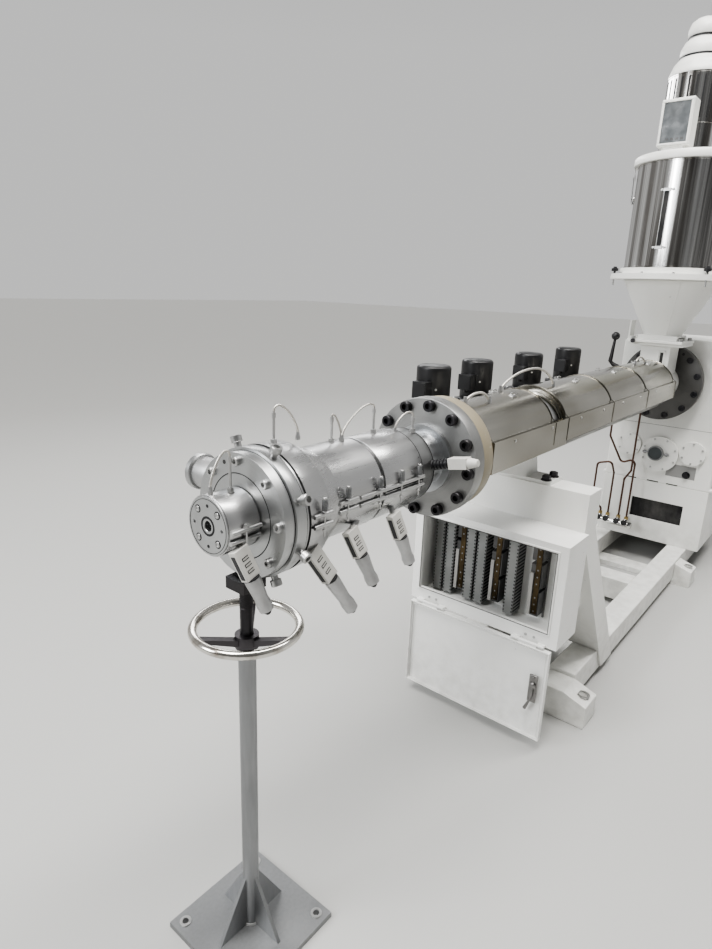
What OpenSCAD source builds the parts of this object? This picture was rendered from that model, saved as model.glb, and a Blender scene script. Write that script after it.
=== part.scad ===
// Single-screw plastic extruder: base frame, wiring cabinet, barrel, drive, hopper dryer, die head and jack.
// X runs along the barrel from the die to the drive, Y across and Z up.
// The origin is on the floor under the barrel axis, at the middle of the front foot beam.

/* [Layout] */
// Height of the barrel axis over the floor
axis_z = 1000; // [960:10:1080]
// From the barrel flange's front face back to the middle of the front foot beam
flange_lead = 645; // [620:5:670]
// Barrel length from the front flange's front face to the drive flange
barrel_len = 2160; // [2100:20:2400]

/* [Barrel] */
// Outer diameter of the barrel
barrel_d = 120; // [110:2:130]
// Outer diameter of the front flange
flange_d = 308; // [296:2:320]
// Thickness of the front flange
flange_t = 42; // [36:2:46]
// Thickness of the clamp ring behind the flange
clamp_ring_t = 54; // [40:2:60]
// How much smaller the clamp ring's radius is than the flange's
clamp_ring_step = 5; // [2:1:10]
// From the flange's front face to the first zone cover
cover_start = 131; // [120:1:140]
// Length of the first zone cover
first_cover_len = 397; // [380:1:420]
// Gap between the first and the second zone cover
cover_gap = 99; // [80:1:110]
// Seam between two neighbouring zone covers
cover_seam = 2; // [1:0.5:4]
// Radius of the rounded top of a zone cover
cover_r = 125; // [120:1:130]
// Half the width over a zone cover's side boxes
cover_half_w = 130; // [128:1:134]
// Height of a zone cover's shoulder over the barrel axis
cover_shoulder = 40; // [34:1:46]
// Depth of the first cover's side under the barrel axis
first_side_drop = 46; // [42:1:48]
// Depth of the other covers' sides under the barrel axis
side_drop = 34; // [28:1:38]
// Sheet thickness of the covers
cover_wall = 3; // [2:0.5:4]
// Outer radius of the band in the gap between the covers
gap_band_r = 108; // [100:1:112]
// Radius of the lower covers
lower_cover_r = 108; // [100:1:112]

/* [Cooling fans] */
// Distance of the first fan from the flange's front face
fan_station_1 = 505; // [490:1:520]
// Distance of the second fan from the flange's front face
fan_station_2 = 800; // [780:1:860]
// Distance of the third fan from the flange's front face
fan_station_3 = 1240; // [1200:1:1290]
// Distance of the fourth fan from the flange's front face
fan_station_4 = 1668; // [1620:1:1720]
// Distance of the fan axes from the barrel axis
fan_offset = 305; // [295:1:320]
// Radius of a fan housing
fan_r = 92; // [84:1:96]
// Height of a fan housing
fan_h = 66; // [56:1:72]
// Height of the fan housings' underside over the barrel axis
fan_drop = -48; // [-50:1:-44]
// Width of the duct from a fan to its zone cover
duct_w = 84; // [70:1:90]
// Radius of a fan motor
fan_motor_r = 58; // [50:1:64]
// Height of a fan motor over its housing
fan_motor_h = 154; // [140:1:170]
// Length of the terminal box on a fan motor
fan_box_len = 42; // [30:1:50]
// Width of the terminal box on a fan motor
fan_box_w = 58; // [50:1:66]
// Height of the terminal box on a fan motor
fan_box_h = 56; // [50:1:66]

/* [Feed and gearbox] */
// Length of the feed throat, between the last cover and the drive flange
feed_len = 255; // [240:5:280]
// Radius of the feed throat casting
feed_r = 86; // [80:1:92]
// Half the width of the neck that carries the hopper
feed_neck_half = 66; // [60:1:80]
// Length of the neck along the barrel
feed_neck_len = 160; // [140:2:180]
// Height of the hopper seat over the barrel axis
hopper_seat_h = 204; // [200:1:220]
// Thickness of the flange at the hopper seat
seat_t = 14; // [10:1:18]
// Radius of the hole that the granules fall through
feed_hole_r = 44; // [38:1:46]
// Outer diameter of the drive flange
drive_flange_d = 384; // [370:2:400]
// Thickness of the drive flange
drive_flange_t = 40; // [30:1:50]
// Radius of the neck behind the drive flange
drive_neck_r = 150; // [140:2:160]
// Length of the neck behind the drive flange
drive_neck_len = 48; // [40:1:60]
// Width of the gearbox
gearbox_w = 530; // [510:2:550]
// How far the gearbox is set to the near side of the barrel axis
gearbox_shift = 35; // [30:1:40]
// Length of the gearbox along the machine
gearbox_len = 450; // [420:5:500]
// Height of the gearbox top over the barrel axis
gearbox_top = 215; // [205:1:240]
// Height of the gearbox foot over the floor
gear_stand_top = 455; // [440:1:470]
// Height of the gearbox's split line over the floor
split_z = 765; // [755:1:790]
// Width of the split-line flange beyond the housing
split_lip = 14; // [8:1:18]
// Height of the drive shaft over the floor
shaft_z = 614; // [605:1:630]
// Radius of the middle bearing cover
bearing_r = 94; // [86:1:98]
// Radius of the outer bearing covers
small_bearing_r = 62; // [56:1:66]
// Spacing of the outer bearing covers from the middle one
bearing_pitch = 134; // [128:1:150]
// How much the outer bearing covers sit over the shaft
bearing_rise = 30; // [20:1:40]
// Thickness of the bearing covers
bearing_t = 18; // [12:1:24]

/* [Drive motor] */
// Gap between gearbox and motor, under the coupling guard
coupling_len = 150; // [130:2:180]
// Radius of the coupling guard
guard_r = 112; // [100:1:120]
// Diameter of the motor body
motor_d = 380; // [360:2:396]
// Length of the motor body
motor_len = 520; // [480:5:560]
// Height of the motor shaft over the motor feet
motor_foot_h = 200; // [199:1:215]

/* [Base frame] */
// Distance between the middles of the two rails
rail_pitch = 396; // [386:2:406]
// Width of a rail
rail_w = 96; // [90:1:100]
// Height of a rail
rail_h = 100; // [90:1:110]
// Thickness of the foot beams under the rails
foot_t = 25; // [20:1:30]
// Length of a foot beam along the machine
foot_len = 105; // [90:1:120]
// Half the width over the foot beams
foot_half_w = 327; // [322:1:340]
// Height of a foot lug at the rail
lug_h = 111; // [105:1:115]
// Height of a foot lug at its tip
lug_tip_h = 84; // [78:1:90]
// Distance between the anchor holes across the machine
anchor_pitch_y = 594; // [588:2:600]
// Radius of an anchor hole
anchor_r = 14; // [11:0.5:15]
// From the flange's front face to the middle foot beam's middle
mid_foot_station = 2090; // [2060:5:2120]
// From the flange's front face to the front edge of the cross member
cross_station = 1595; // [1500:5:1650]
// Length of a cross member along the machine
cross_len = 112; // [90:2:130]

/* [Front stand] */
// From the flange's front face to the front of the top beam
beam_station = 550; // [545:1:560]
// Length of the top beam along the machine
beam_len = 100; // [90:1:110]
// Depth of the top beam
beam_h = 135; // [120:1:150]
// Height of the top beam's upper face over the floor
beam_top = 830; // [815:1:840]
// How far the stand leans back between the beam and the rails
stand_lean = 358; // [330:2:380]
// Length of the leaning leg along the machine, at the rails
leg_len = 119; // [110:1:130]
// Thickness of the stand's side plates
side_plate_t = 8; // [6:1:10]
// Half the width of the bracket's foot plate
bracket_half_w = 125; // [110:1:140]
// Half the width of the saddle under the barrel
saddle_half_w = 48; // [44:1:50]
// From the flange's front face to the front of the saddle
saddle_station = 349; // [335:1:360]
// Length of the saddle along the barrel
saddle_len = 273; // [260:1:280]
// Depth of the saddle block
saddle_h = 40; // [30:1:50]

/* [Wiring cabinet] */
// From the flange's front face to the cabinet's front
cabinet_station = 400; // [390:1:410]
// Half the width of the cabinet
cabinet_half_w = 268; // [262:1:274]
// Height of the cabinet's underside over the floor
cabinet_z = 366; // [360:1:376]
// Height of the cabinet
cabinet_h = 340; // [330:1:350]
// Sheet thickness of the cabinet
cabinet_wall = 4; // [3:0.5:6]
// Width of the cabinet's front frame at the sides
frame_side = 31; // [26:1:36]
// Width of the cabinet's front frame at the bottom
frame_bottom = 46; // [40:1:50]
// Width of the cabinet's front frame at the top
frame_top = 25; // [20:1:30]
// Half the width of the door
door_half_w = 256; // [250:1:260]
// Height of the door
door_h = 316; // [312:1:318]
// Depth of the door's rim
door_rim = 18; // [14:1:22]
// Sheet thickness of the door
door_wall = 2.5; // [2:0.5:4]
// Depth of the wiring ducts
wire_duct_depth = 60; // [50:1:66]
// Width of a wiring duct
wire_duct_w = 34; // [28:1:38]

/* [Cooling water] */
// Outer radius of a cooling pipe
pipe_r = 5; // [4:0.5:6]
// Radius of the bends in a cooling pipe
pipe_bend_r = 22; // [16:1:28]
// Depth of the upper pipe's jog under the barrel axis
pipe_jog_drop = 372; // [360:1:390]
// Depth of the pipe loop's top under the barrel axis
pipe_loop_drop = 450; // [440:1:470]
// Reach of the pipe loop to the far side
pipe_loop_y = 246; // [236:1:256]
// Radius of the manifold bar
manifold_r = 14; // [12:1:16]
// Height of the manifold over the floor
manifold_z = 215; // [205:1:225]
// Length of the manifold
manifold_len = 170; // [160:2:180]
// Radius of the water port in the manifold's ends
port_r = 7.5; // [6:0.5:9]

/* [Hopper dryer] */
// Half the width of the hopper base plate
base_half_w = 120; // [110:1:126]
// Thickness of the hopper base plate
base_t = 12; // [10:1:14]
// Height of the hopper base with its slide gate
hopper_base_h = 34; // [30:1:40]
// Half the width of the collar plate over the gate
collar_half_w = 88; // [84:1:94]
// Thickness of the slide gate
gate_t = 9; // [6:1:11]
// Gap beside the slide gate
gate_side_gap = 2; // [1:0.5:3]
// Radius of the hopper cone's foot
outlet_r = 84; // [70:1:86]
// Radius of the hopper cone's top
cone_top_r = 208; // [196:1:220]
// Height of the hopper cone
cone_h = 246; // [236:2:260]
// Height of the straight rim over the cone
cone_rim_h = 6; // [4:1:20]
// Wall of the hopper cone
cone_wall = 4; // [3:0.5:5]
// Radius of the flange ring over the cone
ring_r = 272; // [262:1:280]
// Thickness of the flange ring
ring_t = 24; // [18:1:30]
// Radius of the smaller ring under the dryer body
foot_ring_r = 234; // [226:1:240]
// Height of the smaller ring under the dryer body
foot_ring_h = 26; // [20:1:32]
// Outer radius of the dryer body
dryer_r = 218; // [212:1:222]
// Wall of the dryer body with its insulation
dryer_wall = 24; // [18:1:30]
// Height of the dryer body
dryer_h = 445; // [425:1:465]
// Overhang of the lid beyond the dryer body
lid_lip = 19; // [14:1:24]
// Height of the dryer's lid
lid_h = 34; // [26:1:40]
// Width, depth and height of the dryer's control box
control_size = [130, 84, 184]; // [60:1:220]
// Middle of the control box across the machine
control_y = 36; // [20:1:50]
// Radius of the fan housing on the lid
lid_fan_r = 118; // [105:1:126]
// Height of the fan housing on the lid
lid_fan_h = 330; // [300:5:350]
// From the hopper's axis back to the fan's axis
lid_fan_station = 30; // [20:1:40]
// Middle of the fan across the machine
lid_fan_y = 40; // [25:1:50]

/* [Die head] */
// Length of the adapter between the flange and the die body
adapter_len = 85; // [70:1:100]
// Radius of the adapter
adapter_r = 70; // [64:1:76]
// Radius of the die body's rear stretch
die_core_r = 90; // [86:1:92]
// Length of the die body's rear stretch
die_rear_len = 345; // [330:1:360]
// Length of the shoulder from the rear stretch to the front stretch
shoulder_len = 60; // [50:1:70]
// Radius of the front stretch and the main ring
die_ring_r = 126; // [122:1:130]
// Length of the front stretch
die_front_len = 65; // [55:1:75]
// Thickness of the main ring
main_ring_t = 25; // [20:1:32]
// Radius of the front ring
front_ring_r = 120; // [116:1:121]
// Thickness of the front ring
front_ring_t = 23; // [18:1:28]
// Radius of the nose's flange, set into the front ring
nose_flange_r = 81; // [76:1:86]
// Depth of the seat for the nose's flange
nose_seat = 12; // [8:1:14]
// Radius of the nose
nose_r = 54; // [50:1:58]
// Length of the nose in front of the ring
nose_len = 74; // [66:1:80]
// Radius of the outlet in the nose
outlet_bore_r = 14; // [10:0.5:16]
// Depth of the outlet in the nose
outlet_depth = 60; // [40:1:66]
// Diameter of the circle of threaded holes in the nose's face
nose_pcd = 76; // [72:1:80]
// Radius of a threaded hole in the nose's face
nose_hole_r = 3.4; // [2.5:0.1:4.5]
// Thickness of a heater band
band_t = 7; // [5:1:8]
// Thickness of the nose's heater band
nose_band_t = 3; // [2:0.5:5]
// Length of the front heater band on the rear stretch
front_band_len = 89; // [80:1:100]
// Length of the rear heater band
rear_band_len = 140; // [130:1:150]
// Radius of a centring bolt's head
centring_head_r = 11; // [9:0.5:13]
// How far the centring bolts stand out of the die body
centring_reach = 22; // [16:1:28]
// From the main ring's front face to the side inlet's axis
inlet_station = 25; // [20:1:40]
// Radius of the side inlet
inlet_r = 32; // [28:1:36]
// How far the side inlet stands out of the main ring
inlet_len = 62; // [50:1:70]
// Height of the side inlet over the barrel axis
inlet_rise = 40; // [30:1:50]
// Radius of the bore in the side inlet
inlet_bore_r = 9; // [6:0.5:12]
// Depth of the bore in the side inlet
inlet_bore_depth = 56; // [40:1:60]

/* [Jack] */
// From the flange's front face forward to the jack's axis
jack_lead = 592; // [585:1:596]
// Side of the jack's base plate
jack_base_w = 260; // [220:2:300]
// Thickness of the jack's base plate
jack_base_t = 14; // [10:1:18]
// Distance between the holes in the jack's base plate
jack_hole_pitch = 210; // [190:2:214]
// Radius of a hole in the jack's base plate
jack_hole_r = 7; // [5:0.5:9]
// Outer radius of the jack's post
post_r = 18; // [17:0.5:20]
// Radius of the lifting screw
screw_r = 13; // [11:0.5:14]
// Length of the lifting screw under the saddle
screw_len = 330; // [300:5:380]
// Height of the hand wheel's middle over the floor
wheel_z = 767; // [755:1:780]
// Radius of the hand wheel, to the middle of its rim
wheel_r = 104; // [96:1:110]
// Radius of the hand wheel's rim
wheel_rim_r = 9; // [7:0.5:10]
// How far the hand wheel's hub lies below its rim
wheel_dish = 30; // [20:1:36]
// Running clearance of the lifting screw, on the radius
screw_clearance = 0.1; // [0.05:0.01:0.3]

/* [Hidden] */
$fn = 96;
// Small overlap that joins two solids of one piece
joint_overlap = 1;
// Gap between the faces of neighbours that move or are only set down
seat_gap = 0.3;

fan_stations = [fan_station_1, fan_station_2, fan_station_3, fan_station_4];

flange_x = -flange_lead;
drive_x = flange_x + barrel_len;
cover_end = barrel_len - feed_len;
second_cover = cover_start + first_cover_len + cover_gap;
other_cover_len = (cover_end - second_cover - 2 * cover_seam) / 3;
gearbox_x = drive_x + drive_flange_t + drive_neck_len;
gearbox_y = -gearbox_shift;
gearbox_end = gearbox_x + gearbox_len;
motor_x = gearbox_end + coupling_len;
motor_end = motor_x + motor_len;
hopper_lead = 110;
hopper_x = drive_x - hopper_lead;
hopper_z = axis_z + hopper_seat_h;

rail_x = foot_len / 2;
rail_z = foot_t;
rail_top = foot_t + rail_h;
rail_out = (rail_pitch + rail_w) / 2;
rail_in = (rail_pitch - rail_w) / 2;
rail_overrun = 60;
rail_end = motor_end + rail_overrun;
mid_foot_x = flange_x + mid_foot_station;
rear_foot_inset = 90;
rear_foot_x = rail_end - rear_foot_inset;

beam_x = flange_x + beam_station;
beam_end = beam_x + beam_len;
beam_low = beam_top - beam_h;
leg_front = beam_x + stand_lean;
leg_rear = leg_front + leg_len;
saddle_cover_gap = 2;
saddle_top = axis_z - first_side_drop - saddle_cover_gap;

cabinet_x = flange_x + cabinet_station;
cabinet_depth = beam_x - cabinet_x;
cabinet_top = cabinet_z + cabinet_h;
opening_low = cabinet_z + frame_bottom;
opening_high = cabinet_top - frame_top;
opening_half_w = cabinet_half_w - frame_side;
door_gap = 3;
shut_gap = 6;
hinge_r = 5;
hinge_x = cabinet_x - (door_gap + door_rim + shut_gap) / 2;
hinge_rise = 4;
hinge_z = cabinet_z + hinge_rise;
hinge_len = 60;
hinge_lug_len = 24;
hinge_end_gap = 0.5;
hinge_y = 180;

die_rear_x = flange_x - adapter_len;
shoulder_x = die_rear_x - die_rear_len;
front_x = shoulder_x - shoulder_len;
ring_x = front_x - die_front_len;
front_ring_x = ring_x - main_ring_t;
die_face_x = front_ring_x - front_ring_t;
nose_x = die_face_x - nose_len;
centring_part = 0.65;
centring_x = front_ring_x + centring_part * main_ring_t;

jack_x = flange_x - jack_lead;
wheel_hub_h = 28;
wheel_hub_r = 24;
post_top = wheel_z - wheel_dish - wheel_hub_h / 2 - seat_gap;
ring_low = axis_z - die_ring_r;

outlet_z = hopper_z + hopper_base_h;
cone_top = outlet_z + cone_h;
ring_z = cone_top + cone_rim_h;
dryer_z = ring_z + ring_t + foot_ring_h;
lid_z = dryer_z + dryer_h;

white = [0.86, 0.86, 0.84];
cream = [0.80, 0.78, 0.70];
steel = [0.62, 0.63, 0.64];
bright = [0.80, 0.81, 0.83];
dark = [0.30, 0.31, 0.33];
black = [0.08, 0.08, 0.09];
copper = [0.45, 0.26, 0.18];
duct_grey = [0.55, 0.56, 0.55];

// A box between two corners
module box(low, high) {
    translate(low) cube(high - low);
}

// A cylinder along X that starts at x and is centred on the barrel axis
module axial(x, length, r) {
    translate([x, 0, axis_z]) rotate([0, 90, 0]) cylinder(h = length, r = r);
}

// A ring along X about the barrel axis
module axial_ring(x, length, r_out, r_in) {
    difference() {
        axial(x, length, r_out);
        axial(x - joint_overlap, length + 2 * joint_overlap, r_in);
    }
}

// A flat outline in Y and Z, drawn out along X
module along_x(x, length) {
    translate([x, 0, 0]) rotate([90, 0, 90]) linear_extrude(length) children();
}

// A flat outline in X and Z, drawn out along Y
module along_y(y, length) {
    translate([0, y + length, 0]) rotate([90, 0, 0]) linear_extrude(length) children();
}

// Base frame

module rails() {
    color(white)
        for (side = [-1, 1])
            translate([rail_x, side * rail_pitch / 2 - rail_w / 2, rail_z])
                cube([rail_end - rail_x, rail_w, rail_h]);
}

module cross_bar(x) {
    box([x, -rail_in, rail_z], [x + cross_len, rail_in, rail_top]);
}

module cross_members() {
    color(white) {
        cross_bar(flange_x + cross_station);
        cross_bar(gearbox_end - cross_len);
        cross_bar(rail_end - cross_len);
    }
}

// The foot beam's outline across the machine; the rails lie in its two pockets when it passes under them
module foot_outline(pocket) {
    difference() {
        polygon([
            [-foot_half_w, 0], [foot_half_w, 0], [foot_half_w, lug_tip_h], [rail_out, lug_h],
            [-rail_out, lug_h], [-foot_half_w, lug_tip_h]
        ]);
        if (pocket) translate([-rail_out, foot_t]) square([2 * rail_out, rail_h]);
    }
}

module foot_beam(x, pocket) {
    difference() {
        along_x(x - foot_len / 2, foot_len) foot_outline(pocket);
        for (side = [-1, 1])
            translate([x, side * anchor_pitch_y / 2, -joint_overlap])
                cylinder(h = lug_h + 2 * joint_overlap, r = anchor_r);
    }
}

module foot_beams() {
    color(white) {
        foot_beam(0, false);
        foot_beam(mid_foot_x, true);
        foot_beam(rear_foot_x, true);
    }
}

// Front stand

module stand_outline() {
    polygon([
        [beam_x, beam_top], [beam_end, beam_top], [beam_end, beam_low], [leg_rear, rail_top],
        [leg_front, rail_top], [beam_x, beam_low]
    ]);
}

// A side plate follows the stand and laps over the rail's outer face
module side_plate_outline() {
    lap = 55;
    lap_low = rail_z + 10;
    polygon([
        [beam_x, beam_top], [beam_end, beam_top], [beam_end, beam_low], [leg_rear, rail_top],
        [leg_rear + lap, lap_low], [leg_front + lap, lap_low], [leg_front, rail_top], [beam_x, beam_low]
    ]);
}

module front_stand() {
    strut_half_w = 22;
    strut_h = 60;
    strut_y = 190;
    color(white) {
        along_y(-rail_out, 2 * rail_out) stand_outline();
        along_y(rail_out, side_plate_t) side_plate_outline();
        along_y(-rail_out - side_plate_t, side_plate_t) side_plate_outline();
        for (side = [-1, 1])
            along_y(side * strut_y - strut_half_w, 2 * strut_half_w)
                polygon([
                    [cabinet_x + cabinet_depth, cabinet_z + strut_h], [cabinet_x + cabinet_depth, cabinet_z],
                    [leg_front_at(cabinet_z) + joint_overlap, cabinet_z],
                    [leg_front_at(cabinet_z + strut_h) + joint_overlap, cabinet_z + strut_h]
                ]);
    }
}

// X of the leaning leg's front face at a height
function leg_front_at(z) = beam_x + stand_lean * (beam_low - z) / (beam_low - rail_top);

module barrel_bracket() {
    foot_plate_t = 12;
    plate_inset = 5;
    gusset_drop = 12;
    gusset_t = 12;
    gusset_y = 34;
    saddle_front = flange_x + saddle_station;
    saddle_rear = saddle_front + saddle_len;
    saddle_low = saddle_top - saddle_h;
    foot_z = beam_top + foot_plate_t;
    color(white) {
        box([beam_x + plate_inset, -bracket_half_w, beam_top],
            [beam_end - plate_inset, bracket_half_w, foot_z]);
        difference() {
            box([saddle_front, -saddle_half_w, saddle_low], [saddle_rear, saddle_half_w, saddle_top]);
            axial(saddle_front - joint_overlap, saddle_len + 2 * joint_overlap, barrel_d / 2);
        }
        for (side = [-1, 1])
            along_y(side * gusset_y - gusset_t / 2, gusset_t)
                polygon([
                    [saddle_front, saddle_low + joint_overlap], [saddle_rear, saddle_low + joint_overlap],
                    [beam_end - plate_inset, foot_z - joint_overlap],
                    [beam_x + plate_inset, foot_z - joint_overlap], [saddle_front, saddle_low - gusset_drop]
                ]);
    }
}

// Wiring cabinet

// The fixed knuckles on both sides of each door knuckle
module hinge_lugs() {
    half_t = 3;
    for (side = [-1, 1], end = [-1, 1]) {
        middle = side * hinge_y + end * (hinge_len / 2 + hinge_end_gap + hinge_lug_len / 2);
        translate([hinge_x, middle - hinge_lug_len / 2, hinge_z])
            rotate([-90, 0, 0]) cylinder(h = hinge_lug_len, r = hinge_r, $fn = 32);
        box([hinge_x, middle - hinge_lug_len / 2, hinge_z - half_t],
            [cabinet_x + joint_overlap, middle + hinge_lug_len / 2, hinge_z + half_t]);
    }
}

module cabinet_shell() {
    frame_t = 14;
    color(white) {
        difference() {
            box([cabinet_x, -cabinet_half_w, cabinet_z],
                [cabinet_x + cabinet_depth, cabinet_half_w, cabinet_top]);
            box([cabinet_x + frame_t, -cabinet_half_w + cabinet_wall, cabinet_z + cabinet_wall],
                [cabinet_x + cabinet_depth - cabinet_wall, cabinet_half_w - cabinet_wall,
                    cabinet_top - cabinet_wall]);
            box([cabinet_x - joint_overlap, -opening_half_w, opening_low],
                [cabinet_x + frame_t + joint_overlap, opening_half_w, opening_high]);
        }
        hinge_lugs();
    }
}

// Middles of the wiring ducts and of the switchgear rows, across the cabinet
duct_rows = [220, 178, 98, 56, -58];
switch_rows = [138, 3, -138];
inner_back = cabinet_x + cabinet_depth - cabinet_wall;

module wiring_ducts() {
    margin = 12;
    color(duct_grey)
        for (y = duct_rows)
            box([inner_back - wire_duct_depth, y - wire_duct_w / 2, cabinet_z + cabinet_wall + margin],
                [inner_back, y + wire_duct_w / 2, cabinet_top - cabinet_wall - margin]);
}

module switchgear() {
    depth = 48;
    unit_h = 84;
    unit_gap = 12;
    unit_w = 38;
    low = opening_low - 10;
    color(black)
        for (y = switch_rows, level = [0 : 2])
            translate([inner_back - depth, y - unit_w / 2, low + level * (unit_h + unit_gap)])
                cube([depth, unit_w, unit_h]);
}

// The door hangs open below its hinge, with its inner side to the front
module cabinet_door() {
    back = cabinet_x - door_gap;
    top_drop = 10;
    lug_half_t = 3;
    top = hinge_z - top_drop;
    color(white) {
        difference() {
            box([back - door_rim, -door_half_w, top - door_h], [back, door_half_w, top]);
            box([back - door_rim - joint_overlap, -door_half_w + door_wall, top - door_h + door_wall],
                [back - door_wall, door_half_w - door_wall, top - door_wall]);
        }
        for (side = [-1, 1]) {
            translate([hinge_x, side * hinge_y - hinge_len / 2, hinge_z])
                rotate([-90, 0, 0]) cylinder(h = hinge_len, r = hinge_r, $fn = 32);
            box([hinge_x - lug_half_t, side * hinge_y - hinge_len / 2, top - door_wall],
                [hinge_x + lug_half_t, side * hinge_y + hinge_len / 2, hinge_z]);
        }
    }
}

// Barrel

module barrel_tube() {
    color(steel) axial(flange_x, barrel_len, barrel_d / 2);
}

module barrel_flange() {
    color(steel) axial_ring(flange_x, flange_t, flange_d / 2, barrel_d / 2);
}

module clamp_ring() {
    color(cream) axial_ring(flange_x + flange_t, clamp_ring_t, flange_d / 2 - clamp_ring_step, barrel_d / 2);
}

// Outline of a zone cover: a rounded top on two side boxes, drawn in by a wall
module cover_outline(drop, wall) {
    union() {
        intersection() {
            circle(r = cover_r - wall);
            translate([-cover_r, 0]) square([2 * cover_r, cover_r]);
        }
        translate([-cover_half_w + wall, -drop])
            square([2 * (cover_half_w - wall), drop + cover_shoulder - wall]);
    }
}

module zone_cover(x, length, drop) {
    color(bright) translate([0, 0, axis_z]) {
        along_x(x, length) difference() {
            cover_outline(drop, 0);
            cover_outline(drop + joint_overlap, cover_wall);
        }
        for (end_x = [x, x + length - cover_wall])
            along_x(end_x, cover_wall) difference() {
                cover_outline(drop, cover_wall / 2);
                circle(r = barrel_d / 2);
            }
    }
}

// The first cover's sides run on under the gap as far as the second cover
module first_zone_cover() {
    x = flange_x + cover_start;
    ledge_w = 7;
    ledge_in = cover_r - ledge_w;
    side_in = cover_half_w - cover_wall;
    zone_cover(x, first_cover_len, first_side_drop);
    color(bright) for (side = [0, 1])
        translate([0, 0, axis_z])
            along_x(x + first_cover_len - joint_overlap, cover_gap - cover_seam + joint_overlap)
                mirror([side, 0, 0]) polygon([
                    [cover_half_w, -first_side_drop], [cover_half_w, cover_shoulder],
                    [ledge_in, cover_shoulder], [ledge_in, cover_shoulder - cover_wall],
                    [side_in, cover_shoulder - cover_wall], [side_in, -first_side_drop]
                ]);
}

function other_cover_x(i) = flange_x + second_cover + i * (other_cover_len + cover_seam);

// A trough under each of the last three zone covers
module lower_cover(x) {
    lip_z = -side_drop;
    along_x(x, other_cover_len) translate([0, axis_z]) difference() {
        union() {
            intersection() {
                circle(r = lower_cover_r);
                translate([-lower_cover_r, -lower_cover_r])
                    square([2 * lower_cover_r, lower_cover_r + lip_z]);
            }
            translate([-cover_half_w, lip_z - cover_wall]) square([2 * cover_half_w, cover_wall]);
        }
        intersection() {
            circle(r = lower_cover_r - cover_wall);
            translate([-lower_cover_r, -lower_cover_r])
                square([2 * lower_cover_r, lower_cover_r + lip_z + joint_overlap]);
        }
    }
}

module lower_covers() {
    color(steel) for (i = [0 : 2]) lower_cover(other_cover_x(i));
}

module fan_housings() {
    duct_step = 2;
    duct_top_step = 4;
    low = axis_z + fan_drop;
    drop_of = function(i) i == 0 ? first_side_drop : side_drop;
    color(black)
        for (i = [0 : len(fan_stations) - 1]) {
            x = flange_x + fan_stations[i];
            duct_low = max(low, axis_z - drop_of(i)) + duct_step;
            translate([x, fan_offset, low]) cylinder(h = fan_h, r = fan_r);
            box([x - duct_w / 2, cover_half_w, duct_low],
                [x + duct_w / 2, fan_offset, low + fan_h - duct_top_step]);
        }
}

module fan_motors() {
    crown_r = 2.2 * fan_motor_r;
    box_sunk = 14;
    box_low = 0.3 * fan_motor_h;
    color(black)
        for (station = fan_stations)
            translate([flange_x + station, fan_offset, axis_z + fan_drop + fan_h]) {
                rotate_extrude()
                    intersection() {
                        square([fan_motor_r, fan_motor_h]);
                        translate([0, fan_motor_h - crown_r]) circle(r = crown_r);
                    }
                translate([-fan_motor_r - fan_box_len + box_sunk, -fan_box_w / 2, box_low])
                    cube([fan_box_len, fan_box_w, fan_box_h]);
            }
}

// Feed throat and drive

// The hole that the granules fall through, from one height to another
module feed_hole(low, high) {
    translate([hopper_x, 0, low]) cylinder(h = high - low, r = feed_hole_r);
}

module feed_throat() {
    seat_half_len = 102;
    neck_front = hopper_x - feed_neck_len / 2;
    color(white) {
        difference() {
            union() {
                axial(drive_x - feed_len + cover_wall, feed_len - cover_wall, feed_r);
                box([neck_front, -feed_neck_half, axis_z],
                    [neck_front + feed_neck_len, feed_neck_half, hopper_z - seat_t + joint_overlap]);
            }
            axial(drive_x - feed_len - joint_overlap, feed_len + 2 * joint_overlap, barrel_d / 2);
            feed_hole(axis_z, hopper_z);
        }
        difference() {
            box([hopper_x - seat_half_len, -base_half_w, hopper_z - seat_t],
                [hopper_x + seat_half_len, base_half_w, hopper_z]);
            feed_hole(axis_z, hopper_z + joint_overlap);
        }
    }
}

module drive_flange() {
    color(dark) {
        axial(drive_x, drive_flange_t, drive_flange_d / 2);
        axial(drive_x + drive_flange_t - joint_overlap, drive_neck_len + joint_overlap, drive_neck_r);
    }
}

module gearbox() {
    half_w = gearbox_w / 2;
    corner = 26;
    lip_h = 16;
    top = axis_z + gearbox_top;
    color(white) {
        along_x(gearbox_x, gearbox_len) polygon([
            [gearbox_y - half_w, gear_stand_top], [gearbox_y + half_w, gear_stand_top],
            [gearbox_y + half_w, top - corner], [gearbox_y + half_w - corner, top],
            [gearbox_y - half_w + corner, top], [gearbox_y - half_w, top - corner]
        ]);
        box([gearbox_x, gearbox_y - half_w - split_lip, split_z - lip_h],
            [gearbox_end, gearbox_y + half_w + split_lip, split_z + lip_h]);
        box([gearbox_x, gearbox_y - half_w - split_lip, gear_stand_top],
            [gearbox_end, gearbox_y + half_w + split_lip, gear_stand_top + lip_h]);
    }
}

module bearing_cover(x, y, z, r) {
    translate([x, y, z]) rotate([0, 90, 0]) cylinder(h = bearing_t, r = r);
}

module bearing_covers() {
    front = gearbox_x - bearing_t;
    side_z = shaft_z + bearing_rise;
    front_pitch = 1.18 * bearing_pitch;
    rear_pitch = 1.4 * bearing_pitch;
    color(white) {
        bearing_cover(front, gearbox_y, shaft_z, bearing_r);
        bearing_cover(gearbox_end, 0, axis_z, bearing_r);
        for (side = [-1, 1]) {
            bearing_cover(front, gearbox_y + side * front_pitch, side_z, small_bearing_r);
            bearing_cover(gearbox_end, gearbox_y + side * rear_pitch, side_z, small_bearing_r);
        }
    }
}

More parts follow.
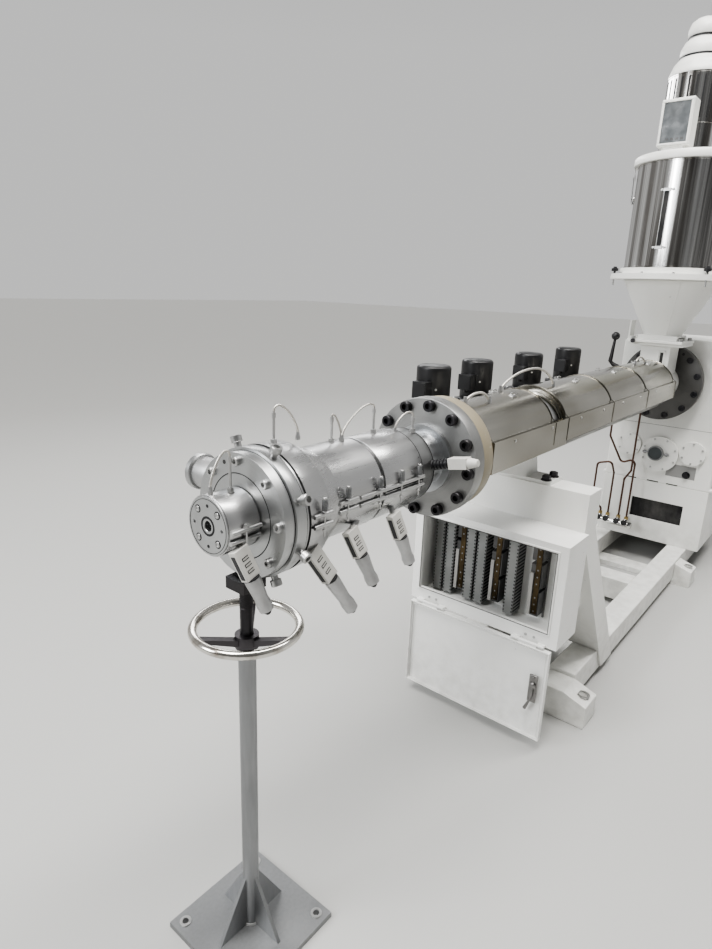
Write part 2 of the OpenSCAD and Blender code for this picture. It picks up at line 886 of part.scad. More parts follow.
module gear_stand() {
    wall = 15;
    half_w = gearbox_w / 2;
    window_half_w = 131;
    window_low = 242;
    window_high = 352;
    window_shift = 28;
    window_y = gearbox_y - window_shift;
    color(white) difference() {
        box([gearbox_x, gearbox_y - half_w, rail_top], [gearbox_end, gearbox_y + half_w, gear_stand_top]);
        box([gearbox_x + wall, gearbox_y - half_w + wall, rail_top - joint_overlap],
            [gearbox_end - wall, gearbox_y + half_w - wall, gear_stand_top - wall]);
        box([gearbox_x - joint_overlap, window_y - window_half_w, window_low],
            [gearbox_end + joint_overlap, window_y + window_half_w, window_high]);
    }
}

module motor_stand() {
    inset = 40;
    half_w = 205;
    color(white)
        box([motor_x + inset, gearbox_y - half_w, rail_top],
            [motor_end - inset, gearbox_y + half_w, shaft_z - motor_foot_h]);
}

module drive_motor() {
    foot_half_w = 170;
    foot_inset = 70;
    terminal_size = [190, 150, 90];
    cowl_len = 90;
    cowl_step = 8;
    shaft_r = 28;
    foot_top = shaft_z - motor_d / 2 + 60;
    terminal_low = shaft_z + motor_d / 2 - 20;
    color(dark) {
        translate([motor_x, gearbox_y, shaft_z]) rotate([0, 90, 0])
            cylinder(h = motor_len - cowl_len, r = motor_d / 2);
        translate([motor_end - cowl_len - joint_overlap, gearbox_y, shaft_z])
            rotate([0, 90, 0]) cylinder(h = cowl_len + joint_overlap, r = motor_d / 2 - cowl_step);
        box([motor_x + foot_inset, gearbox_y - foot_half_w, shaft_z - motor_foot_h],
            [motor_end - cowl_len - foot_inset, gearbox_y + foot_half_w, foot_top]);
        box([motor_x + foot_inset, gearbox_y - terminal_size[1] / 2, terminal_low],
            [motor_x + foot_inset + terminal_size[0], gearbox_y + terminal_size[1] / 2,
                terminal_low + terminal_size[2]]);
    }
    color(steel)
        translate([gearbox_end, gearbox_y, shaft_z]) rotate([0, 90, 0])
            cylinder(h = coupling_len + joint_overlap, r = shaft_r);
}

module coupling_guard() {
    guard_wall = 3;
    color("gold") translate([gearbox_end, gearbox_y, 0]) {
        rotate([90, 0, 90]) linear_extrude(coupling_len) difference() {
            union() {
                translate([0, shaft_z]) circle(r = guard_r);
                translate([-guard_r, shaft_z - guard_r]) square([2 * guard_r, guard_r]);
            }
            translate([0, shaft_z]) circle(r = guard_r - guard_wall);
            translate([-guard_r + guard_wall, shaft_z - guard_r - joint_overlap])
                square([2 * (guard_r - guard_wall), guard_r + joint_overlap]);
        }
    }
}

// Cooling water

manifold_lead = 105;
manifold_x = gearbox_x - manifold_lead;
manifold_y = 35;
valve_ys = [52, 94, 152, 192];
valve_h = 36;
valve_top = manifold_z + valve_h;
elbow_socket = 1;
elbow_wall = 0.5;

module cooling_manifold() {
    port_depth = 26;
    valve_r = 8;
    arm_r = 7;
    arm_inset = 30;
    color(bright) difference() {
        union() {
            translate([manifold_x, manifold_y, manifold_z]) rotate([-90, 0, 0])
                cylinder(h = manifold_len, r = manifold_r);
            for (y = valve_ys)
                translate([manifold_x, y, manifold_z]) cylinder(h = valve_h, r = valve_r);
            for (y = [manifold_y + arm_inset, manifold_y + manifold_len - arm_inset])
                translate([manifold_x, y, manifold_z]) rotate([0, 90, 0])
                    cylinder(h = gearbox_x - manifold_x, r = arm_r);
        }
        translate([manifold_x, manifold_y + manifold_len - port_depth, manifold_z])
            rotate([-90, 0, 0]) cylinder(h = port_depth + joint_overlap, r = port_r);
    }
}

// Angle from the first to the second direction, between -180 and 180
function turn(a, b) = atan2(a[0] * b[1] - a[1] * b[0], a[0] * b[0] + a[1] * b[1]);

function unit(v) = v / norm(v);

// How far a bend at a corner reaches along its two legs
function bend_reach(points, i) = (i == 0 || i == len(points) - 1) ? 0
    : pipe_bend_r * tan(abs(turn(points[i] - points[i - 1], points[i + 1] - points[i])) / 2);

// How far a leg's end is pushed into the elbow there
function socket(points, i) = (i == 0 || i == len(points) - 1) ? 0 : elbow_socket;

// A pipe in the plane of the manifold, through points given in Y and Z, with a round elbow at each corner
module pipe(points) {
    translate([manifold_x, 0, 0]) {
        for (i = [0 : len(points) - 2]) {
            way = unit(points[i + 1] - points[i]);
            start = points[i] + way * (bend_reach(points, i) - socket(points, i));
            length = norm(points[i + 1] - points[i]) - bend_reach(points, i) - bend_reach(points, i + 1)
                + socket(points, i) + socket(points, i + 1);
            translate([0, start[0], start[1]])
                rotate([atan2(way[1], way[0]) - 90, 0, 0]) cylinder(h = length, r = pipe_r, $fn = 24);
        }
        for (i = [1 : len(points) - 2]) {
            way = unit(points[i] - points[i - 1]);
            sweep = turn(way, points[i + 1] - points[i]);
            side = sweep > 0 ? 1 : -1;
            start = points[i] - way * bend_reach(points, i);
            middle = start + side * pipe_bend_r * [-way[1], way[0]];
            first = atan2(start[1] - middle[1], start[0] - middle[0]);
            translate([0, middle[0], middle[1]])
                rotate([90, 0, 90]) rotate([0, 0, side > 0 ? first : first + sweep])
                    rotate_extrude(angle = abs(sweep))
                        translate([pipe_bend_r, 0]) circle(r = pipe_r + elbow_wall, $fn = 24);
        }
    }
}

module cooling_pipes() {
    shoulder = axis_z - pipe_jog_drop;
    loop_top = axis_z - pipe_loop_drop;
    riser_y = 66;
    riser_low = shoulder - 110;
    riser_turn = riser_low - 50;
    riser_top = axis_z - sqrt(pow(feed_r, 2) - pow(riser_y - pipe_r, 2)) - seat_gap;
    // The first pipe turns out, crosses over and climbs beside the feed section
    jog_turn = shoulder - 40;
    jog_y = valve_ys[0] + 70;
    jog_z = shoulder - 75;
    climb_y = 200;
    climb_low = shoulder + 60;
    climb_high = axis_z - 60;
    entry_y = 150;
    // The third pipe bends over at its top and comes back down to the fourth valve
    loop_turn = loop_top - 60;
    loop_peak_y = 172;
    loop_shoulder = loop_top - 22;
    return_high = valve_top + 60;
    return_low = valve_top + 30;
    color(copper) {
        pipe([
            [valve_ys[0], valve_top], [valve_ys[0], jog_turn], [jog_y, jog_z], [climb_y, climb_low],
            [climb_y, climb_high], [entry_y, axis_z], [feed_r + seat_gap, axis_z]
        ]);
        pipe([
            [valve_ys[1], valve_top], [valve_ys[1], riser_turn], [riser_y, riser_low], [riser_y, riser_top]
        ]);
        pipe([
            [valve_ys[2], valve_top], [valve_ys[2], loop_turn], [loop_peak_y, loop_top],
            [pipe_loop_y, loop_shoulder], [pipe_loop_y, return_high], [valve_ys[3], return_low],
            [valve_ys[3], valve_top]
        ]);
    }
}

// Hopper dryer

gate_z = hopper_z + base_t + seat_gap;
gate_margin = 12;
gate_half_w = feed_hole_r + gate_margin;

// A plate with two guide bars, and a collar plate over them that carries the cone
module hopper_base() {
    guide_w = 28;
    collar_t = 8;
    guide_in = gate_half_w + gate_side_gap;
    collar_z = outlet_z - collar_t;
    color(white) difference() {
        union() {
            box([hopper_x - base_half_w, -base_half_w, hopper_z],
                [hopper_x + base_half_w, base_half_w, hopper_z + base_t]);
            for (side = [-1, 1])
                translate([hopper_x + side * (guide_in + guide_w / 2), 0, 0])
                    box([-guide_w / 2, -collar_half_w, hopper_z + base_t - joint_overlap],
                        [guide_w / 2, collar_half_w, collar_z + joint_overlap]);
            box([hopper_x - guide_in - guide_w, -collar_half_w, collar_z],
                [hopper_x + guide_in + guide_w, collar_half_w, outlet_z]);
        }
        feed_hole(hopper_z - joint_overlap, outlet_z + joint_overlap);
    }
}

// The gate is shut; its bent-up end is the handle
module hopper_gate() {
    handle_y = 150;
    handle_top = hopper_z + 96;
    handle_half_w = 34;
    handle_start = base_half_w - 10;
    color(bright) {
        box([hopper_x - gate_half_w, -gate_half_w, gate_z],
            [hopper_x + gate_half_w, handle_start, gate_z + gate_t]);
        box([hopper_x - handle_half_w, handle_start - joint_overlap, gate_z],
            [hopper_x + handle_half_w, handle_y, gate_z + gate_t]);
        box([hopper_x - handle_half_w, handle_y - gate_t, gate_z],
            [hopper_x + handle_half_w, handle_y, handle_top]);
    }
}

// The cone's shell with the flange ring that carries the dryer body
module hopper_cone() {
    ring_in = min(dryer_r - dryer_wall, cone_top_r - cone_wall);
    color(white) translate([hopper_x, 0, 0]) rotate_extrude() difference() {
        polygon([
            [0, outlet_z], [outlet_r, outlet_z], [cone_top_r, cone_top], [cone_top_r, ring_z],
            [ring_r, ring_z], [ring_r, ring_z + ring_t], [foot_ring_r, ring_z + ring_t],
            [foot_ring_r, dryer_z], [0, dryer_z]
        ]);
        polygon([
            [0, outlet_z - 1], [outlet_r - cone_wall, outlet_z - 1], [outlet_r - cone_wall, outlet_z],
            [cone_top_r - cone_wall, cone_top], [cone_top_r - cone_wall, ring_z], [ring_in, ring_z],
            [ring_in, dryer_z + 1], [0, dryer_z + 1]
        ]);
    }
}

module dryer_body() {
    color(bright) translate([hopper_x, 0, dryer_z]) difference() {
        cylinder(h = dryer_h, r = dryer_r);
        translate([0, 0, -joint_overlap])
            cylinder(h = dryer_h + 2 * joint_overlap, r = dryer_r - dryer_wall);
    }
}

module dryer_lid() {
    bevel = 6;
    lid_r = dryer_r + lid_lip;
    color(white) translate([hopper_x, 0, lid_z]) rotate_extrude() polygon([
        [0, 0], [lid_r, 0], [lid_r, lid_h - bevel], [lid_r - bevel, lid_h], [0, lid_h]
    ]);
}

lid_top = lid_z + lid_h;

module dryer_control() {
    set_back = 8;
    foot_h = 16;
    foot_half_w = 44;
    foot_inset = 12;
    front = hopper_x - dryer_r + set_back;
    color(white) translate([0, control_y, 0]) {
        box([front, -control_size[0] / 2, lid_top + foot_h],
            [front + control_size[1], control_size[0] / 2, lid_top + foot_h + control_size[2]]);
        box([front + foot_inset, -foot_half_w, lid_top],
            [front + control_size[1] - foot_inset, foot_half_w, lid_top + foot_h + joint_overlap]);
    }
}

module dryer_fan() {
    neck_h = 24;
    neck_r = lid_fan_r - 20;
    color(bright) translate([hopper_x + lid_fan_station, lid_fan_y, lid_top]) rotate_extrude() polygon([
        [0, 0], [neck_r, 0], [neck_r, neck_h], [lid_fan_r, neck_h], [lid_fan_r, lid_fan_h], [0, lid_fan_h]
    ]);
}

// A white cap in three steps, with a groove for a band under the second and the third
module fan_cap() {
    rim_overhang = 2;
    rim_r = lid_fan_r + rim_overhang;
    cap_h = 234;
    // Each point's inset from the rim and its height, going up the side
    side_points = [
        [0, 0], [0, 8], [16, 48], [30, 64], [36, 74], [34, 84], [34, 106], [46, 132], [58, 144], [60, 152],
        [54, 162], [54, 184], [62, 208], [80, 222], [100, 230]
    ];
    color(white) translate([hopper_x + lid_fan_station, lid_fan_y, lid_top + lid_fan_h]) rotate_extrude()
        polygon(concat([[0, 0]], [for (p = side_points) [rim_r - p[0], p[1]]], [[0, cap_h]]));
}

// Die head

module die_adapter() {
    hub_t = 12;
    hub_step = 18;
    color(steel) {
        axial(die_rear_x, adapter_len, adapter_r);
        axial(flange_x - hub_t, hub_t, adapter_r + hub_step);
    }
}

// The body is turned: rear stretch, rounded shoulder, front stretch
module die_body() {
    ring_step = 2;
    front_r = die_ring_r - ring_step;
    color(steel) translate([0, 0, axis_z]) rotate([0, 90, 0]) rotate([0, 0, 180]) rotate_extrude()
        polygon(concat(
            [[0, ring_x], [front_r, ring_x], [front_r, front_x]],
            [for (a = [10 : 10 : 80])
                [die_core_r + (front_r - die_core_r) * (1 - sin(a)), front_x + shoulder_len * (1 - cos(a))]],
            [[die_core_r, front_x + shoulder_len], [die_core_r, die_rear_x], [0, die_rear_x]]
        ));
}

module die_ring() {
    color(steel) difference() {
        union() {
            axial(front_ring_x, main_ring_t, die_ring_r);
            axial(die_face_x, front_ring_t + joint_overlap, front_ring_r);
        }
        axial(die_face_x - joint_overlap, nose_seat + joint_overlap, nose_flange_r);
    }
}

module die_nose() {
    flange_gap = 0.5;
    hole_depth = 22;
    color(steel) difference() {
        union() {
            axial(die_face_x, nose_seat, nose_flange_r - flange_gap);
            axial(nose_x, nose_len + joint_overlap, nose_r);
        }
        axial(nose_x - joint_overlap, outlet_depth + joint_overlap, outlet_bore_r);
        for (a = [0 : 90 : 270])
            rotate_about_axis(a)
                translate([nose_x - joint_overlap, 0, nose_pcd / 2])
                    rotate([0, 90, 0]) cylinder(h = hole_depth, r = nose_hole_r);
    }
}

// Turns its children about the barrel axis; they are drawn with the axis at Z 0
module rotate_about_axis(a) {
    translate([0, 0, axis_z]) rotate([a, 0, 0]) children();
}

// The band in the gap between the covers is open where the saddle carries the barrel
module gap_band() {
    band_gap = 2;
    band_x = flange_x + cover_start + first_cover_len + band_gap;
    band_len = cover_gap - 2 * band_gap;
    difference() {
        axial_ring(band_x, band_len, gap_band_r, barrel_d / 2);
        box([band_x - joint_overlap, -gap_band_r - 1, axis_z - gap_band_r - 1],
            [band_x + band_len + joint_overlap, gap_band_r + 1, axis_z - first_side_drop]);
    }
}

module heater_bands() {
    nose_band_step = 3;
    front_band_lead = 211;
    rear_band_lead = 59;
    front_band_x = die_rear_x - front_band_lead - front_band_len;
    rear_band_x = die_rear_x - rear_band_lead - rear_band_len;
    color(bright) {
        gap_band();
        axial_ring(nose_x + nose_band_step, nose_len - 2 * nose_band_step, nose_r + nose_band_t, nose_r);
        axial_ring(front_band_x, front_band_len, die_core_r + band_t, die_core_r);
        axial_ring(rear_band_x, rear_band_len, die_core_r + band_t, die_core_r);
    }
}

module centring_bolts() {
    // The side inlet takes the place of one of the eight bolts
    places = 8;
    inlet_place = 6;
    pitch = 360 / places;
    centring_angles = [for (k = [0 : places - 1]) if (k != inlet_place) (k + 0.5) * pitch];
    shank_r = 7;
    head_h = 12;
    base = die_ring_r;
    color(steel)
        for (a = centring_angles)
            rotate_about_axis(a) translate([centring_x, 0, 0]) {
                translate([0, 0, base]) cylinder(h = centring_reach, r = shank_r);
                translate([0, 0, base + centring_reach - head_h]) cylinder(h = head_h, r = centring_head_r);
            }
}

module side_inlet() {
    start = 100;
    trim = 20;
    seat_x = front_ring_x + inlet_station;
    color(steel) difference() {
        translate([seat_x, start, axis_z + inlet_rise]) rotate([-90, 0, 0])
            cylinder(h = die_ring_r + inlet_len - start, r = inlet_r);
        axial(front_ring_x - trim, main_ring_t + die_front_len, die_ring_r);
        translate([seat_x, die_ring_r + inlet_len - inlet_bore_depth, axis_z + inlet_rise])
            rotate([-90, 0, 0]) cylinder(h = inlet_bore_depth + joint_overlap, r = inlet_bore_r);
    }
}

// Jack

module jack_post() {
    rib_h = 130;
    rib_reach = 92;
    rib_t = 8;
    bore_floor = 40;
    bore_gap = 2;
    color(steel) translate([jack_x, 0, 0]) difference() {
        union() {
            translate([-jack_base_w / 2, -jack_base_w / 2, 0]) cube([jack_base_w, jack_base_w, jack_base_t]);
            cylinder(h = post_top, r = post_r);
            for (a = [0 : 90 : 270])
                rotate([0, 0, a]) rotate([90, 0, 0]) translate([0, 0, -rib_t / 2]) linear_extrude(rib_t)
                    polygon([
                        [0, jack_base_t - joint_overlap], [rib_reach, jack_base_t - joint_overlap],
                        [post_r, jack_base_t + rib_h], [0, jack_base_t + rib_h]
                    ]);
        }
        translate([0, 0, bore_floor]) cylinder(h = post_top, r = screw_r + bore_gap);
        for (x = [-1, 1], y = [-1, 1])
            translate([x * jack_hole_pitch / 2, y * jack_hole_pitch / 2, -joint_overlap])
                cylinder(h = jack_base_t + 2 * joint_overlap, r = jack_hole_r);
    }
}

module hand_wheel() {
    spoke_w = 18;
    spoke_t = 7;
    first_spoke = 43;
    spoke_in = wheel_hub_r - 4;
    color(bright) translate([jack_x, 0, wheel_z]) difference() {
        union() {
            rotate_extrude() translate([wheel_r, 0]) circle(r = wheel_rim_r, $fn = 32);
            translate([0, 0, -wheel_dish - wheel_hub_h / 2]) cylinder(h = wheel_hub_h, r = wheel_hub_r);
            for (a = [0 : 120 : 240])
                rotate([90, 0, first_spoke + a])
                    translate([0, 0, -spoke_w / 2]) linear_extrude(spoke_w) polygon([
                        [spoke_in, -wheel_dish - spoke_t], [wheel_r, -spoke_t / 2],
                        [wheel_r, spoke_t / 2], [spoke_in, spoke_t - wheel_dish]
                    ]);
        }
        translate([0, 0, -wheel_dish])
            cylinder(h = 2 * wheel_hub_h, r = screw_r + screw_clearance, center = true);
    }
}

module jack_screw() {
    saddle_len = 56;
    saddle_half_w = 26;
    saddle_h = 40;
    ring_bite = saddle_h / 2 - 2;
    low = ring_low - saddle_h + ring_bite;
    color(dark) {
        translate([jack_x, 0, low - screw_len]) cylinder(h = screw_len + joint_overlap, r = screw_r);
        difference() {
            box([jack_x - saddle_len / 2, -saddle_half_w, low],
                [jack_x + saddle_len / 2, saddle_half_w, low + saddle_h]);
            axial(jack_x - saddle_len, 2 * saddle_len, die_ring_r + seat_gap);
        }
    }
}

rails();
cross_members();
foot_beams();
front_stand();
barrel_bracket();
cabinet_shell();
wiring_ducts();
switchgear();
cabinet_door();
barrel_tube();
barrel_flange();
clamp_ring();
first_zone_cover();  // zone_cover_1
zone_cover(other_cover_x(0), other_cover_len, side_drop);  // zone_cover_2
zone_cover(other_cover_x(1), other_cover_len, side_drop);  // zone_cover_3
zone_cover(other_cover_x(2), other_cover_len, side_drop);  // zone_cover_4
lower_covers();
fan_housings();
fan_motors();
feed_throat();
drive_flange();
gearbox();
bearing_covers();
gear_stand();
motor_stand();
drive_motor();
coupling_guard();
cooling_manifold();
cooling_pipes();
hopper_base();
hopper_gate();
hopper_cone();
dryer_body();
dryer_lid();
dryer_control();
dryer_fan();
fan_cap();
die_adapter();
die_body();
die_ring();
die_nose();
heater_bands();
centring_bolts();
side_inlet();
jack_post();
hand_wheel();
jack_screw();
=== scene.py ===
"""Looks of a single-screw plastic extruder: materials, bolts and the other small pieces, light and camera."""
import math

import bmesh
import bpy
from mathutils import Euler, Matrix, Vector


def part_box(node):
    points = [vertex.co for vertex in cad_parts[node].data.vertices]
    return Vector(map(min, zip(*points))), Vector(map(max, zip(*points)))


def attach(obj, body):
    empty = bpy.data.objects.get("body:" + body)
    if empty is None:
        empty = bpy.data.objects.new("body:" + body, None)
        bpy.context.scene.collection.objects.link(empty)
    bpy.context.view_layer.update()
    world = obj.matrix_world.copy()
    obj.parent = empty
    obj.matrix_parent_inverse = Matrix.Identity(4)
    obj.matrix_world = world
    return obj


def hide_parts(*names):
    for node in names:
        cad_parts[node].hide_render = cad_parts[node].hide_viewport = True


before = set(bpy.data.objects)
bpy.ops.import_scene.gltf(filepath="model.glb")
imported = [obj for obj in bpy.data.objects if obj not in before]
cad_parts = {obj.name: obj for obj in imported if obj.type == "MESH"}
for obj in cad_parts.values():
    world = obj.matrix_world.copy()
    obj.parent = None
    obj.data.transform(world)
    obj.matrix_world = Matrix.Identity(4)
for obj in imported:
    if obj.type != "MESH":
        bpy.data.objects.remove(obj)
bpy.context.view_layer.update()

MM = 0.001
AXIS_Z = 1000.0
FRONT, REAR, NEAR, FAR, UP = (-1, 0, 0), (1, 0, 0), (0, -1, 0), (0, 1, 0), (0, 0, 1)


class Span:
    """The box of one of the frame's pieces at rest, in millimetres."""

    def __init__(self, name):
        low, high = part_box(name)
        self.x0, self.y0, self.z0 = (value / MM for value in low)
        self.x1, self.y1, self.z1 = (value / MM for value in high)
        self.x, self.y, self.z = ((a + b) / 2 / MM for a, b in zip(low, high))


def spans(names):
    return [Span(name) for name in names.split()]


# Materials

class Nodes:
    """The node tree of a material or of the world, with short calls for the nodes that are used."""

    def __init__(self, name, group=None):
        self.owner = (bpy.data.materials if group is None else group).new(name)
        self.owner.use_nodes = True
        self.tree = self.owner.node_tree
        self.shader = self.tree.nodes.get("Principled BSDF") or self.tree.nodes["Background"]

    def put(self, node, values):
        """Fills a node's inputs, each with a socket to link, a number or a colour."""
        for key, value in values.items():
            socket = node.inputs[key]
            if isinstance(value, bpy.types.NodeSocket):
                self.tree.links.new(value, socket)
            elif socket.type == "RGBA":
                socket.default_value = (*value, 1.0)
            else:
                socket.default_value = value

    def add(self, kind, values, **settings):
        """Adds a node and gives its outputs."""
        node = self.tree.nodes.new(kind)
        for key, value in settings.items():
            setattr(node, key, value)
        self.put(node, values)
        return node.outputs

    def finish(self, **values):
        """Fills the shader's inputs; base_color stands for its Base Color."""
        self.put(self.shader, {key.replace("_", " ").title(): value for key, value in values.items()})
        return self.owner

    def place(self, scale=(1, 1, 1)):
        """Object coordinates, stretched."""
        coords = self.add("ShaderNodeTexCoord", {})["Object"]
        return self.add("ShaderNodeMapping", {"Scale": scale, "Vector": coords})["Vector"]

    def split(self):
        """The three object coordinates one by one."""
        return self.add("ShaderNodeSeparateXYZ", {"Vector": self.place()})

    def noise(self, scale, detail=3.0, stretch=(1, 1, 1), roughness=0.5, vector=None):
        vector = vector or self.place(stretch)
        values = {"Scale": scale, "Detail": detail, "Roughness": roughness, "Vector": vector}
        return self.add("ShaderNodeTexNoise", values)["Fac"]

    def ramp(self, source, low, high, start=0.0, end=1.0):
        values = {"Value": source, "From Min": low, "From Max": high, "To Min": start, "To Max": end}
        return self.add("ShaderNodeMapRange", values)["Result"]

    def mix(self, factor, first, second):
        """A colour between two others; each is a colour or a socket."""
        return self.add("ShaderNodeMix", {0: factor, 6: first, 7: second}, data_type="RGBA")[2]

    def math(self, operation, first, second=0.0):
        return self.add("ShaderNodeMath", {0: first, 1: second}, operation=operation)["Value"]

    def bump(self, height, strength, distance):
        values = {"Strength": strength, "Distance": distance, "Height": height}
        return self.add("ShaderNodeBump", values)["Normal"]

    def radius(self, centre, first, second):
        """The distance from an axis through centre; first and second are the letters across it."""
        across = self.split()
        away = self.math("SUBTRACT", across[first], centre * MM)
        squares = (self.math("MULTIPLY", away, away), self.math("MULTIPLY", across[second], across[second]))
        return self.math("SQRT", self.math("ADD", *squares))


def shade(colour, share):
    return tuple(share * c for c in colour)


def paint(name, colour, roughness=0.42, dirt=0.35):
    """Sprayed machine paint: slight mottling, dust low down, orange peel and a few rubbed spots."""
    worn, dirt_colour = (0.45, 0.44, 0.42), (0.20, 0.18, 0.15)
    n = Nodes(name)
    tone = n.mix(n.ramp(n.noise(2.2, 4), 0.35, 0.70), colour, shade(colour, 0.90))
    smears = n.ramp(n.noise(7.0, 6, (1, 1, 0.22), 0.65), 0.56, 0.78, 0.0, dirt)
    tone = n.mix(smears, tone, tuple(0.55 * c + 0.45 * d for c, d in zip(colour, dirt_colour)))
    low = n.math("MULTIPLY", n.ramp(n.split()["Z"], 0.32, 0.0), n.ramp(n.noise(24.0, 5), 0.38, 0.68))
    tone = n.mix(n.math("MULTIPLY", low, dirt * 1.4), tone, dirt_colour)
    specks = n.ramp(n.noise(95.0, 2), 0.735, 0.76)
    rough = n.ramp(n.noise(14.0, 4), 0.3, 0.7, roughness - 0.06, roughness + 0.12)
    return n.finish(base_color=n.mix(n.math("MULTIPLY", specks, 0.55), tone, worn), roughness=rough,
                    normal=n.bump(n.noise(420.0, 2), 0.12, 0.0006), coat_weight=0.12, coat_roughness=0.25)


def metal(name, colour, roughness=0.3, stretch=(1, 1, 1), grain=900.0, tint=None, stained=0.35, bump=0.0,
          patches=3.0):
    """Bare metal with a grain along one way, and stains."""
    n = Nodes(name)
    stains = n.ramp(n.noise(patches, 5, (1, 1, 1), 0.6), 0.38, 0.72, 0.0, stained)
    tone = n.mix(stains, colour, tint or shade(colour, 0.72))
    lines = n.noise(grain, 3, stretch, 0.6)
    rough = n.math("ADD", n.ramp(lines, 0.3, 0.7, roughness - 0.04, roughness + 0.05),
                   n.ramp(n.noise(9.0, 4), 0.4, 0.75, 0.0, 0.14))
    relief = {"normal": n.bump(lines, bump, 0.0004)} if bump else {}
    return n.finish(base_color=n.mix(n.ramp(lines, 0.35, 0.65, 0.0, 0.16), tone, shade(colour, 0.7)),
                    roughness=rough, metallic=1.0, **relief)


def turned(name, colour, roughness=0.3):
    """Metal turned about the barrel axis: fine rings on the faces and round the sides."""
    n = Nodes(name)
    way = n.add("ShaderNodeCombineXYZ", {"X": n.radius(AXIS_Z, "Z", "Y"), "Y": n.split()["X"]})["Vector"]
    rings = n.noise(900.0, 2.0, vector=way)
    tone = n.mix(n.ramp(n.noise(9.0, 6, (1, 1, 1), 0.62), 0.42, 0.74, 0.0, 0.40), colour, shade(colour, 0.60))
    rough = n.math("ADD", n.ramp(rings, 0.3, 0.7, roughness - 0.05, roughness + 0.08),
                   n.ramp(n.noise(15.0, 5), 0.40, 0.75, 0.0, 0.14))
    return n.finish(base_color=n.mix(n.ramp(rings, 0.35, 0.65, 0.0, 0.12), tone, shade(colour, 0.7)),
                    roughness=rough, normal=n.bump(rings, 0.02, 0.0002), metallic=1.0)


def plastic(name, colour, roughness=0.45, bump=0.08, dusty=0.22):
    """Moulded plastic or ceramic with a little dust."""
    n = Nodes(name)
    tone = n.mix(n.ramp(n.noise(16.0, 4), 0.35, 0.7), colour, shade(colour, 0.80))
    dust = n.ramp(n.noise(5.0, 6, (1, 1, 0.6), 0.6), 0.52, 0.80, 0.0, dusty)
    return n.finish(base_color=n.mix(dust, tone, (0.42, 0.40, 0.37)),
                    roughness=n.ramp(n.noise(30.0, 3), 0.3, 0.7, roughness - 0.07, roughness + 0.10),
                    normal=n.bump(n.noise(600.0, 2), bump, 0.0004))


def sheet_steel(name, colour, stain, roughness=0.2, amount=0.8):
    """Thin stainless sheet, discoloured by heat, with soft clouds and long faint stripes along the sheet,
    partly grain and partly painted reflection.
    """
    n = Nodes(name)
    clouds = n.ramp(n.noise(5.0, 2, (0.35, 1, 1), 0.45), 0.38, 0.66, 0.0, amount)
    # Long faint stripes along X: partly grain, partly painted reflection of light running along the sheet.
    painted_reflection_streaks = n.ramp(n.noise(48.0, 2, (0.02, 1, 1), 0.5), 0.38, 0.66, 0.0, 0.42)
    rough = n.ramp(n.noise(7.0, 2, (0.3, 1, 1)), 0.35, 0.7, roughness - 0.04, roughness + 0.10)
    return n.finish(base_color=n.mix(painted_reflection_streaks, n.mix(clouds, colour, stain), shade(colour, 0.6)),
                    roughness=rough, normal=n.bump(n.noise(7.0, 1, (0.3, 1, 1)), 0.22, 0.008), metallic=1.0)


def streaked(name, middle, roughness=0.14):
    """Bright sheet rolled about an upright axis: long light and dark stripes of painted reflection run up the
    wall.
    """
    n = Nodes(name)
    # Painted reflection: long upright light and dark stripes stand for what the bright wall reflects.
    painted_reflection_streaks = n.ramp(n.noise(24.0, 4, (1, 1, 0.01), 0.66), 0.40, 0.60)
    tone = n.mix(painted_reflection_streaks, (0.86, 0.86, 0.85), (0.17, 0.16, 0.15))
    stains = n.ramp(n.noise(3.0, 5, (1, 1, 0.5), 0.6), 0.45, 0.75, 0.0, 0.35)
    rough = n.ramp(n.noise(22.0, 3, (1, 1, 0.05)), 0.3, 0.7, roughness - 0.05, roughness + 0.12)
    return n.finish(base_color=n.mix(stains, tone, middle), roughness=rough,
                    normal=n.bump(n.noise(34.0, 2, (1, 1, 0.015)), 0.22, 0.003), metallic=1.0)


def wheel_look(name, middle_x, rim_radius):
    """Chrome plate on the rim; the hub and the spokes are dark."""
    n = Nodes(name)
    rim = n.ramp(n.radius(middle_x, "X", "Y"), (rim_radius - 12) * MM, (rim_radius - 9) * MM)
    worn = n.ramp(n.noise(22.0, 5, (1, 1, 1), 0.65), 0.50, 0.66, 0.0, 0.6)
    plate = n.mix(worn, (0.66, 0.64, 0.60), (0.20, 0.16, 0.12))
    return n.finish(base_color=n.mix(rim, (0.085, 0.080, 0.085), plate),
                    roughness=n.ramp(rim, 0.0, 1.0, 0.42, 0.16), metallic=1.0)


WHEEL = Span("hand_wheel")
WHEEL_RIM_R = 104

